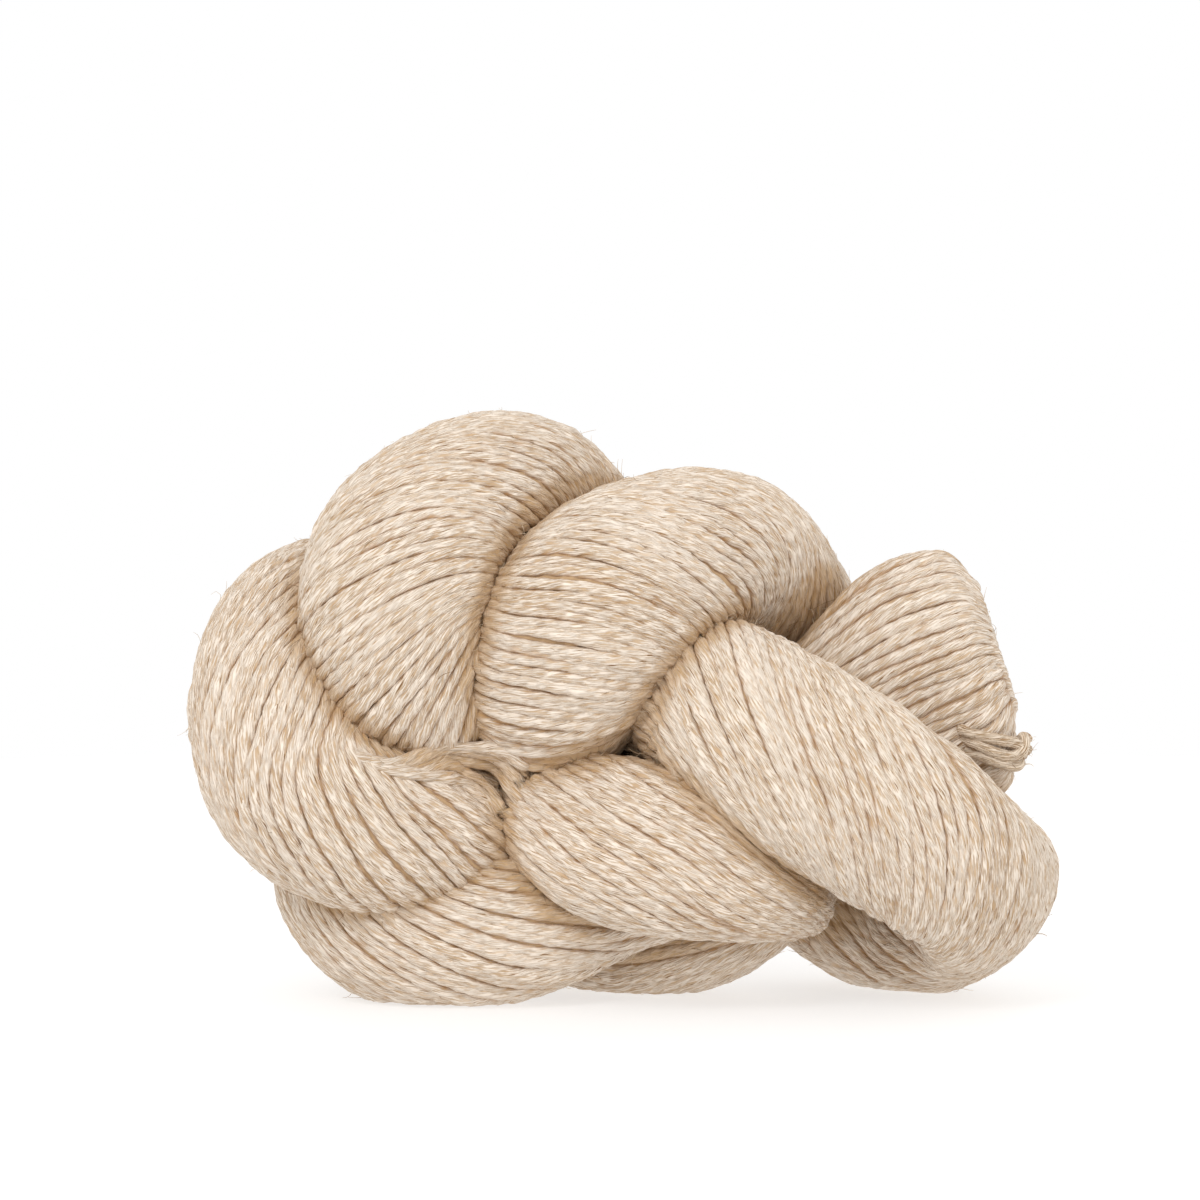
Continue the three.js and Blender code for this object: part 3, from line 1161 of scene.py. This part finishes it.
@dataclass(frozen=True)
class YarnFinish:
    """Spun natural yarn: plies that twist round each other, fine fibres, and shades from cream to tan.

    Attributes:
        name: name of the material.
        light: colour of the palest fibres.
        middle: colour between.
        tan: colour of the darkest fibres and of bits of straw.
        shade_brown: painted shade in the grooves between turns.
        crease: painted shade of the turns deep in a crease.
        chaff: colour of the darkest bits of straw.
        fibre_pitch: length of yarn, in metres, in which its fibres go once round it.
        fibre: streaks of single fibres.
        fibre_edge: noise from which a fibre starts, and where it is full.
        straw: streaks of straw.
        slub: streaks of thicker and thinner stretches.
        cloud: patches for each metre of the hank.
        shares: shares of the fibre, slub, cloud, tint and ply in the shade.
        shift: what is added to the shade.
        middle_from: shades from which tan gives way to the middle colour, and where it has.
        light_from: shades from which the middle colour gives way to light, and where it has.
        straw_from: noise from which a bit of straw starts, and where it is full.
        straw_strength: strength of the straw.
        chaff_from: the same two noises for the darkest straw.
        lifted: heights above the layer below, in metres, where the grooves' painted shade starts and is
            full.
        groove_shade: strength of the grooves' painted shade.
        closed: openness from which the painted shade of a crease starts, and where it is full.
        crease_shade_strength: strength of that painted shade, and how much of it a patch adds.
        ply_edge: cosines between which the yarn's plies round off, in the bumps and in the painted shade
            between them.
        heights: shares of the fibre and ply in the bumps.
        bump: strength of the bumps.
    """

    name: str = "natural_yarn"
    light: tuple = (0.84, 0.735, 0.625)
    middle: tuple = (0.62, 0.47, 0.33)
    tan: tuple = (0.46, 0.29, 0.15)
    shade_brown: tuple = (0.42, 0.215, 0.08)
    crease: tuple = (0.52, 0.325, 0.15)
    chaff: tuple = (0.25, 0.13, 0.05)
    fibre_pitch: float = 0.04
    fibre: Streaks = Streaks(5.4, 360.0, 90.0, 1.5)
    fibre_edge: tuple = (0.37, 0.63)
    straw: Streaks = Streaks(6.0, 330.0, 70.0, 0.5)
    slub: Streaks = Streaks(0.75, 120.0, 40.0, 1.0)
    cloud: float = 70.0
    shares: tuple = (0.62, 0.2, 0.18, 0.18, 0.11)
    shift: float = 0.01
    middle_from: tuple = (-0.08, 0.55)
    light_from: tuple = (0.3, 0.85)
    straw_from: tuple = (0.63, 0.69)
    straw_strength: float = 0.6
    chaff_from: tuple = (0.725, 0.765)
    lifted: tuple = (0.0008, 0.00015)
    groove_shade: float = 0.68
    closed: tuple = (0.95, 0.3)
    crease_shade_strength: tuple = (0.35, 0.5)
    ply_edge: tuple = (-1.0, 0.2)
    heights: tuple = (0.7, 0.55)
    bump: float = 0.75

    def material(self) -> bpy.types.Material:
        """The material, whose patterns follow the attributes that the yarn's sweep leaves.

        Returns:
            The material.
        """
        made, graph, shader = blank_material(self.name)
        section = graph.node("ShaderNodeAttribute", {"attribute_name": "round"})
        axes = graph.node("ShaderNodeSeparateXYZ", None, {0: section.outputs["Vector"]})
        gone, tint, lift = graph.attribute("gone"), graph.attribute("tint"), graph.attribute("lift")
        turned = Value(graph, axes.outputs[1]).angle_to(Value(graph, axes.outputs[0]))
        ridge = (turned * PLIES).cosine().ramp(*self.ply_edge)
        lean = FULL_TURN * (1 / (PLY_PITCH * MM) - 1 / self.fibre_pitch)
        angle = turned - gone * lean
        at = (graph, angle.cosine(), angle.sine(), gone, tint)
        fibre = self.fibre.noise(*at).ramp(*self.fibre_edge)
        straw = self.straw.noise(*at)
        slub = self.slub.noise(*at)
        place = graph.node("ShaderNodeTexCoord").outputs["Object"]
        patches = {"Vector": place, "Scale": self.cloud, "Detail": 2.0}
        cloud = graph.value("ShaderNodeTexNoise", None, patches)
        # The ply's share darkens the valleys between plies, a painted shade.
        shade = self.shift
        for part, share in zip((fibre, slub, cloud, tint, ridge), self.shares):
            shade = part * share + shade
        colour = graph.mix(shade.ramp(*self.middle_from), self.tan, self.middle)
        colour = graph.mix(shade.ramp(*self.light_from), colour, self.light)
        colour = graph.mix(straw.ramp(*self.straw_from) * self.straw_strength, colour, self.tan)
        colour = graph.mix(straw.ramp(*self.chaff_from), colour, self.chaff)
        # Painted shade: turns that lie low over the layer below, in the grooves between them, darken to
        # brown.
        colour = graph.mix(lift.ramp(*self.lifted) * self.groove_shade, colour, self.shade_brown)
        # Painted shade: turns in a crease, where the room above is closed, darken to brown, more in some
        # patches.
        least, patch = self.crease_shade_strength
        crease = graph.attribute("open").ramp(*self.closed) * (cloud * patch + least)
        colour = graph.mix(crease, colour, self.crease)
        height = fibre * self.heights[0] + ridge * self.heights[1]
        bumps = {"Strength": self.bump, "Distance": BUMP_HEIGHT, "Height": height}
        graph.feed(shader, {
            "Base Color": colour,
            "Normal": graph.node("ShaderNodeBump", None, bumps).outputs[0],
            "Roughness": 0.8,
            "Specular IOR Level": 0.12,
            "Sheen Weight": 0.06,
            "Sheen Roughness": 0.5,
        })
        return made


@dataclass(frozen=True)
class FuzzFinish:
    """Single fibres that stand off the yarn, most pale and a few brown, and brown in creases as painted
    shade.

    Attributes:
        name: name of the material.
        pale: colour of most fibres.
        brown: colour of those with the highest tints.
        brown_from: tints from which brown starts, and where it is full.
    """

    name: str = "loose_fibre"
    pale: tuple = (0.70, 0.57, 0.42)
    brown: tuple = (0.26, 0.15, 0.07)
    brown_from: tuple = (0.55, 1.0)

    def material(self) -> bpy.types.Material:
        """The material.

        Returns:
            The material.
        """
        made, graph, shader = blank_material(self.name)
        colour = graph.mix(graph.attribute("tint").ramp(*self.brown_from), self.pale, self.brown)
        graph.feed(shader, {"Base Color": colour, "Roughness": 0.7})
        return made


@dataclass(frozen=True)
class UnderFinish:
    """Yarn deep between the turns, seen only in the gaps; both its colours are a painted shade, darker than
    the yarn's.

    Attributes:
        name: name of the material.
        light: colour of its lightest specks.
        shade_brown: colour of its darkest.
        grain: how many specks there are in a metre.
    """

    name: str = "under_yarn"
    light: tuple = (0.58, 0.41, 0.25)
    shade_brown: tuple = (0.38, 0.235, 0.115)
    grain: float = 600.0

    def material(self) -> bpy.types.Material:
        """The material.

        Returns:
            The material.
        """
        made, graph, shader = blank_material(self.name)
        place = graph.node("ShaderNodeTexCoord").outputs["Object"]
        specks = {"Vector": place, "Scale": self.grain, "Detail": 3.0}
        grain = graph.value("ShaderNodeTexNoise", None, specks)
        bumps = {"Strength": 0.6, "Distance": BUMP_HEIGHT, "Height": grain}
        # Specks between two browns, both darkened as painted shade.
        graph.feed(shader, {
            "Base Color": graph.mix(grain, self.shade_brown, self.light),
            "Normal": graph.node("ShaderNodeBump", None, bumps).outputs[0],
            "Roughness": 0.95,
        })
        return made


@dataclass
class YarnSweep:
    """Geometry Nodes that sweep plied yarn along lines of edges, its section turning with the plies.

    Attributes:
        material: the yarn's finish.
        under: the layer below the turns, from which the attribute lift is measured.
        radius: radius of yarn of thickness 1, in metres.
        flatness: its section's second radius, as a share of the first.
        sides: how many sides the section has.
    """

    material: bpy.types.Material
    under: bpy.types.Object
    radius: float = TURN_RADIUS * MM
    flatness: float = 0.92
    sides: int = TURN_SIDES

    def _tree(self) -> tuple[bpy.types.NodeTree, dict]:
        """The tree of nodes.

        Returns:
            The tree, and the identifiers of its named inputs.
        """
        tree = bpy.data.node_groups.new("yarn_sweep", "GeometryNodeTree")
        face = tree.interface
        face.new_socket(name="Geometry", in_out="INPUT", socket_type="NodeSocketGeometry")
        kinds = {
            "Yarn Radius": "Float",
            "Flatness": "Float",
            "Sides": "Int",
            "Ply Pitch": "Float",
            "Under": "Object",
            "Material": "Material",
        }
        ids = {}
        for key, kind in kinds.items():
            ids[key] = face.new_socket(name=key, in_out="INPUT", socket_type="NodeSocket" + kind).identifier
        face.new_socket(name="Geometry", in_out="OUTPUT", socket_type="NodeSocketGeometry")
        graph = Graph(tree)
        given = graph.node("NodeGroupInput").outputs

        def step(kind: str, settings: dict | None, inputs: dict) -> bpy.types.NodeSocket:
            """The first output of a new geometry node."""
            return graph.node("GeometryNode" + kind, settings, inputs).outputs[0]

        swell = graph.value("GeometryNodeInputNamedAttribute", {"data_type": "FLOAT"}, {"Name": "swell"})
        gone = graph.value("GeometryNodeInputNamedAttribute", {"data_type": "FLOAT"}, {"Name": "gone"})
        twist = gone * -FULL_TURN / Value(graph, given["Ply Pitch"])
        wire = step("MeshToCurve", None, {"Mesh": given["Geometry"]})
        tilted = step("SetCurveTilt", None, {"Curve": wire, "Tilt": twist})
        circle = step(
            "CurvePrimitiveCircle", {"mode": "RADIUS"}, {"Resolution": given["Sides"], "Radius": 1.0}
        )
        where = step("InputPosition", None, {})
        per_point = {"domain": "POINT", "data_type": "FLOAT_VECTOR"}
        round_it = {"Geometry": circle, "Name": "round", "Value": where}
        marked = step("StoreNamedAttribute", per_point, round_it)
        oval = graph.node("ShaderNodeCombineXYZ", None, {0: 1.0, 1: given["Flatness"], 2: 1.0})
        ring = step("Transform", None, {"Geometry": marked, "Scale": oval.outputs[0]})
        thickness = swell * Value(graph, given["Yarn Radius"])
        ways = {"Curve": tilted, "Profile Curve": ring, "Scale": thickness, "Fill Caps": True}
        swept = step("CurveToMesh", None, ways)
        below = graph.node("GeometryNodeObjectInfo", None, {"Object": given["Under"]})
        near = graph.node(
            "GeometryNodeProximity", {"target_element": "FACES"}, {0: below.outputs["Geometry"]}
        )
        per_point["data_type"] = "FLOAT"
        above = {"Geometry": swept, "Name": "lift", "Value": near.outputs["Distance"]}
        lifted = step("StoreNamedAttribute", per_point, above)
        smooth = step("SetShadeSmooth", None, {"Geometry": lifted})
        real = step("RealizeInstances", None, {"Geometry": smooth})
        dressed = step("SetMaterial", None, {"Geometry": real, "Material": given["Material"]})
        graph.node("NodeGroupOutput", None, {"Geometry": dressed})
        return tree, ids

    def sweep(self, turns: Turns, name: str) -> bpy.types.Object:
        """Turns as one plain mesh.

        Args:
            turns: the lengths of yarn.
            name: name of the piece.

        Returns:
            The piece.
        """
        wires = turns.wires(name + "_wires")
        tree, ids = self._tree()
        modifier = wires.modifiers.new("yarn", "NODES")
        modifier.node_group = tree
        sizes = {
            "Yarn Radius": self.radius,
            "Flatness": self.flatness,
            "Sides": self.sides,
            "Ply Pitch": PLY_PITCH * MM,
            "Under": self.under,
            "Material": self.material,
        }
        for key, value in sizes.items():
            modifier[ids[key]] = value
        return plain_copy(wires, name, self.material)


def plain_copy(source: bpy.types.Object, name: str, material: bpy.types.Material) -> bpy.types.Object:
    """What an object's modifiers make, as a plain mesh object, and the source removed.

    Args:
        source: object with live modifiers.
        name: name of the new object.
        material: its material.

    Returns:
        The new object.
    """
    graph = bpy.context.evaluated_depsgraph_get()
    mesh = bpy.data.meshes.new_from_object(source.evaluated_get(graph))
    mesh.name = name
    mesh.materials.clear()
    mesh.materials.append(material)
    made = linked(name, mesh)
    bpy.data.objects.remove(source)
    return made


def dress(piece: bpy.types.Object, node: str) -> None:
    """Puts a piece on the root body, hides the CAD node that it stands for, and reports it.

    Args:
        piece: the piece.
        node: the CAD node.
    """
    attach(piece, "root")
    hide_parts(node)
    piece.data.calc_loop_triangles()
    LOG.info("%s: %d triangles", piece.name, len(piece.data.loop_triangles))


@dataclass
class TwistedHank:
    """The hank: its under layer and the turns on its plies, collar, core and fan.

    Attributes:
        node: the CAD node.
        rings: distance between the sections of its bundles.
        sink: how far the under layer lies inside the solid.
        weld: distance within which the solid's corners are one.
        collar_start: the collar's station that comes first, where its ends don't show.
        round_share: share of the fan's front whose turns go round its end.
        bulge: how far they bulge there, as a share of half the way from front to rear.
        round_steps: steps round its end.
    """

    node: bpy.types.Object
    rings: float = 0.7
    sink: float = 1.0
    weld: float = 0.01
    collar_start: int = 5
    round_share: float = 0.97
    bulge: float = 0.8
    round_steps: int = 14

    def under(self, finish: UnderFinish) -> bpy.types.Object:
        """The layer below the turns, the solid's own form drawn in.

        Args:
            finish: its finish.

        Returns:
            The piece.
        """
        shape = bmesh.new()
        shape.from_mesh(self.node.data)
        bmesh.ops.remove_doubles(shape, verts=shape.verts, dist=self.weld * MM)
        shape.normal_update()
        moves = [(v, v.normal * (-self.sink * MM)) for v in shape.verts]
        for vertex, move in moves:
            vertex.co += move
        mesh = bpy.data.meshes.new(Piece.UNDER.value)
        shape.to_mesh(mesh)
        shape.free()
        mesh.shade_smooth()
        mesh.materials.append(finish.material())
        return linked(Piece.UNDER.value, mesh)

    def laid(self, outline: Outline) -> list[tuple[Piece, Turns]]:
        """The turns of every part of the hank.

        Args:
            outline: the hank's solid.

        Returns:
            Pairs of a piece and its turns.
        """
        swept = Laying(seed=81, proud=9.0, bury=4.5, dive=6.0)
        made = [(Piece.SWEPT, swept.turns(SweptGroup(seed=81).lines(outline), outline))]
        rope = SectionTable(tuple(reversed(FIRST_PLY)) + FOLD + SECOND_PLY)
        start = self.collar_start
        collar = SectionTable(COLLAR[start:] + COLLAR[:start], closed=True, crowd=0.7)
        bundles = (
            (Piece.ROPE, rope, Laying(seed=11, held=2.0)),
            (Piece.COLLAR, collar, Laying(seed=37)),
            (Piece.CORE, SectionTable(CORE), Laying(seed=61, crossing=0.0, bury=2.3, dive=3.2)),
        )
        for piece, table, laying in bundles:
            made.append((piece, laying.turns(laying.lines(table.course(self.rings)), outline)))
        laying = Laying(seed=53)
        round_end, others = self._fan_lines(laying)
        fan = laying.turns(round_end, outline)
        fan.extend(laying.turns(others, outline, fan.places()))
        made.append((Piece.FAN, fan))
        return made

    def _fan_lines(self, laying: Laying) -> tuple[list, list]:
        """The fan's turns, that go out on its front, round its end and back.

        Args:
            laying: how they are laid.

        Returns:
            Pairs of points and tint: of the turns that go round its end, and of those that end there.
        """
        course = FanTable(FAN).course(self.rings)
        across, inset, swell, _ = laying.matrix(course)
        sections = range(len(course.middle))
        last = sections[-1]
        girths = [course.girth(i) for i in sections]
        whole = np.array([gone[-1] for gone, _ in girths])
        scale = course.spread / course.spread[last]

        def face(turn: int, at: np.ndarray) -> np.ndarray:
            """A turn's points with its thickness, at its distances from the fan's outermost line."""
            angle = np.array([np.interp(at[i], *girths[i]) for i in sections])
            return np.hstack([course.place(angle, inset[turn], slice(None)), swell[turn][:, None]])

        draws = laying.tint_draws()
        round_end, others = [], []
        for turn, at in enumerate(across):
            tint = float(draws.uniform())
            reach = at[last]
            front = face(turn, at)[np.abs(at) < whole]
            if abs(reach) < whole[last] / 2 * self.round_share:
                side = 1.0 if reach >= 0 else -1.0
                behind = side * whole - 2 * reach * scale + at
                rear = face(turn, (behind + whole) % (2 * whole) - whole)
                middle = (front[-1] + rear[-1]) / 2
                half = front[-1] - middle
                swing = np.linspace(0, math.pi, self.round_steps)[1:-1, None]
                bulge = np.linalg.norm(half[:3]) * self.bulge * np.append(course.along[last], 0.0)
                bend = middle + half * np.cos(swing) + bulge * np.sin(swing)
                round_end.append((np.vstack([front, bend, rear[::-1]]), tint))
            elif len(front) >= laying.fewest:
                others.append((front, tint))
        return round_end, others


@dataclass(frozen=True)
class ShortHair:
    """One of the many fibres close along the yarn.

    Attributes:
        steps: how many pieces it is bent in.
        scatter: spread of its direction.
        droop: how much it bends back to the yarn.
        taper: its thickness at its root and tip.
        usual: mean and spread of its length's logarithm.
        lengths: least and greatest length in millimetres.
        rises: mean and spread of how steeply it leaves the yarn.
        tints: least and greatest tint on an open side.
        crease_shade_tint: what is added to its tint in a crease, a painted shade.
    """

    steps: int = 3
    scatter: float = 0.33
    droop: float = 0.16
    taper: tuple = (1.2, 0.55)
    usual: tuple = (0.65, 0.45)
    lengths: tuple = (0.8, 4.5)
    rises: tuple = (0.18, 0.28)
    tints: tuple = (0.0, 0.9)
    crease_shade_tint: float = 0.4

    def length(self, rng: np.random.Generator) -> float:
        """A length in millimetres."""
        return float(np.clip(rng.lognormal(*self.usual), *self.lengths))

    def rise(self, rng: np.random.Generator) -> float:
        """How steeply it leaves the yarn."""
        return abs(rng.normal(*self.rises))

    def tint(self, rng: np.random.Generator, closed: float) -> float:
        """Its tint, raised towards brown in a crease as painted shade."""
        return float(np.clip(rng.uniform(*self.tints) + self.crease_shade_tint * closed, 0, 1))


@dataclass(frozen=True)
class StrayHair(ShortHair):
    """One of the few long fibres that stand off the yarn, all brown."""

    steps: int = 9
    scatter: float = 0.6
    droop: float = 0.4
    taper: tuple = (1.9, 0.9)
    lengths: tuple = (3.0, 8.0)
    rises: tuple = (0.1, 0.5)
    tints: tuple = (0.8, 1.0)
    crease_shade_tint: float = 0.0

    def length(self, rng: np.random.Generator) -> float:
        """A length in millimetres."""
        return rng.uniform(*self.lengths)

    def rise(self, rng: np.random.Generator) -> float:
        """How steeply it leaves the yarn."""
        return rng.uniform(*self.rises)


@dataclass
class Fuzz:
    """Fine fibres rooted on the turns, close along them, and a few long strays.

    Attributes:
        seed: seed of all that is random.
        short: how many short fibres there are.
        strays: how many long ones there are.
        radius: a fibre's radius.
        gather: how many more of them grow in a crease.
        longer: how much longer they are there.
        root: height of a root above the middle of its turn, as a share of the turn's radius.
        bend: spread of a fibre's bend.
    """

    seed: int = 71
    short: int = 4900
    strays: int = 70
    radius: float = 0.055
    gather: float = 7.0
    longer: float = 0.4
    root: float = 0.92
    bend: float = 0.8

    def hairs(self, groups: list[Turns], outline: Outline) -> Turns:
        """The fibres as lines.

        Args:
            groups: the turns that they are rooted on.
            outline: the hank's solid.

        Returns:
            The fibres.
        """
        rng = np.random.default_rng(self.seed)
        lines = [line for turns in groups for line in turns.lines]
        places = np.concatenate(lines)
        along = unit(np.concatenate([np.gradient(line, axis=0) for line in lines]))
        closed = 1 - np.concatenate([free for turns in groups for free in turns.opens])
        chance = 1 + self.gather * closed
        picks = rng.choice(len(places), self.short + self.strays, replace=False, p=chance / chance.sum())
        made = Turns()
        for number, pick in enumerate(picks):
            hair = ShortHair() if number < self.short else StrayHair()
            ahead = along[pick] * rng.choice([-1.0, 1.0])
            _, normal, _, _ = outline.tree.find_nearest(Vector(places[pick]))
            out = np.array(normal)
            length = hair.length(rng) * (1 + self.longer * closed[pick])
            way = unit(ahead + out * hair.rise(rng) + rng.normal(0, hair.scatter, 3))
            bend = rng.normal(0, self.bend, 3) - out * hair.droop
            line = [places[pick] + out * TURN_RADIUS * self.root * MM]
            for step in range(hair.steps):
                line.append(line[-1] + unit(way + bend * step / hair.steps) * length / hair.steps * MM)
            line = np.array(line)
            line[:, 2] = np.maximum(line[:, 2], self.radius * MM)
            count = len(line)
            made.add(line, hair.tint(rng, closed[pick]), np.linspace(*hair.taper, count), np.ones(count))
        return made


@dataclass
class Tie:
    """The tie at the fan's lower edge: yarns that lie side by side and pass through a small knot.

    Attributes:
        seed: seed of the yarns' unevenness.
        radius: radius of its yarn.
        step: distance between a yarn's points.
        slub: sway of a yarn's thickness, its length in points.
        tints: tint of the first yarn, and what each further one has more.
    """

    seed: int = 90
    radius: float = 1.25
    step: float = 0.5
    slub: Sway = Sway(0.05, 9.0)
    tints: tuple = (0.15, 0.3)

    def turns(self) -> Turns:
        """The yarns as lines.

        Returns:
            The yarns, two of them through the knot to their free ends.
        """
        made = Turns()
        first, more = self.tints
        for number, yarn in enumerate(TIE_YARNS):
            line = at_even_steps(curve_through(np.array(yarn, float), GUIDE_STEPS), self.step)
            steps = np.arange(len(line)) / self.slub.length
            swell = 1 + self.slub.size * smooth_noise(self.seed + number, steps)
            made.add((line - MIDDLE) * MM, first + more * number, swell, np.ones(len(line)))
        return made


@dataclass
class Studio:
    """A pale table, soft light all round, and the camera nearly level with the table. Sizes are in metres.

    Attributes:
        distance: from the camera to the middle of its picture.
        across: width of the picture there.
        centre: middle of the picture.
        sensor: width of the camera's sensor in millimetres.
        table_radius: radius of the table.
        table_glow: strength of the table's own light.
        aim: what the lamps point at.
        lamps: name, place, size and power of each lamp.
    """

    distance: float = 2.4
    across: float = 0.24
    centre: tuple = (-0.0046, -0.0041, 0.0804)
    sensor: float = 36.0
    table_radius: float = 0.46
    table_glow: float = 0.66
    aim: tuple = (0.0, 0.0, 0.05)
    lamps: tuple = (
        ("key", (-0.5, -1.0, 1.0), 0.5, 7.0),
        ("fill", (0.9, -0.9, 0.5), 0.8, 2.0),
    )

    def table(self) -> None:
        """The round pale table, lit through like a light table."""
        bpy.ops.mesh.primitive_circle_add(vertices=128, radius=self.table_radius, fill_type="NGON")
        table = bpy.context.object
        table.name = "table"
        made, graph, shader = blank_material("table")
        graph.feed(shader, {
            "Base Color": (0.32, 0.32, 0.32, 1.0),
            "Roughness": 0.7,
            "Emission Color": (1.0, 0.985, 0.97, 1.0),
            "Emission Strength": self.table_glow,
        })
        table.data.materials.append(made)

    def camera(self) -> None:
        """The camera at the photograph's angle."""
        data = bpy.data.cameras.new("camera")
        camera = linked("camera", data)
        tilt = math.radians(CAMERA_ELEVATION)
        back = Vector((0.0, -math.cos(tilt), math.sin(tilt)))
        camera.location = Vector(self.centre) + back * self.distance
        camera.rotation_euler = (math.pi / 2 - tilt, 0.0, 0.0)
        data.sensor_width = self.sensor
        data.lens = self.sensor * self.distance / self.across
        data.clip_end = 20.0
        bpy.context.scene.camera = camera

    def lights(self) -> None:
        """Soft boxes and a white surround."""
        for name, place, size, power in self.lamps:
            data = bpy.data.lights.new(name, "AREA")
            data.shape = "SQUARE"
            data.size = size
            data.energy = power
            lamp = linked(name, data)
            lamp.location = place
            lamp.rotation_euler = (Vector(self.aim) - Vector(place)).to_track_quat("-Z", "Y").to_euler()
        world = bpy.data.worlds.new("surround")
        world.use_nodes = True
        surround = {"Color": (1.0, 1.0, 1.0, 1.0), "Strength": 1.0}
        Graph(world.node_tree).feed(world.node_tree.nodes["Background"], surround)
        bpy.context.scene.world = world
        bpy.context.scene.view_settings.view_transform = "Standard"


def main() -> None:
    """Builds the hank piece by piece and reports each."""
    logging.basicConfig(level=logging.INFO, format="%(name)s: %(message)s")
    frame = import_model()
    studio = Studio()
    studio.camera()
    studio.table()
    studio.lights()

    hank = TwistedHank(frame["nodes"]["hank"])
    under = hank.under(UnderFinish())
    dress(under, "hank")
    outline = Outline(hank.node)
    laid = hank.laid(outline)
    yarn = YarnSweep(YarnFinish().material(), under)
    for piece, turns in laid:
        for number, part in enumerate(turns.parts(MOST_TRIANGLES // (2 * TURN_SIDES)), 1):
            dress(yarn.sweep(part, f"{piece.value}_{number}"), "hank")

    tie = Tie()
    tie_turns = tie.turns()
    # The tie's colours spread wider than the hank's, its tan and middle darker: painted shade for the gaps
    # between its strands.
    finish = YarnFinish(
        "tie_yarn", light=(0.86, 0.73, 0.585), middle=(0.50, 0.35, 0.215), tan=(0.29, 0.16, 0.068)
    )
    cords = YarnSweep(finish.material(), under, tie.radius * MM)
    dress(cords.sweep(tie_turns, Piece.TIE.value), "tie")

    fuzz = Fuzz()
    hairs = fuzz.hairs([turns for _, turns in laid], outline)
    hairs.extend(Fuzz(seed=72, short=60, strays=0).hairs([tie_turns], outline))
    threads = YarnSweep(FuzzFinish().material(), under, fuzz.radius * MM, flatness=1.0, sides=3)
    dress(threads.sweep(hairs, Piece.FUZZ.value), "hank")


if __name__ == "__main__":
    main()
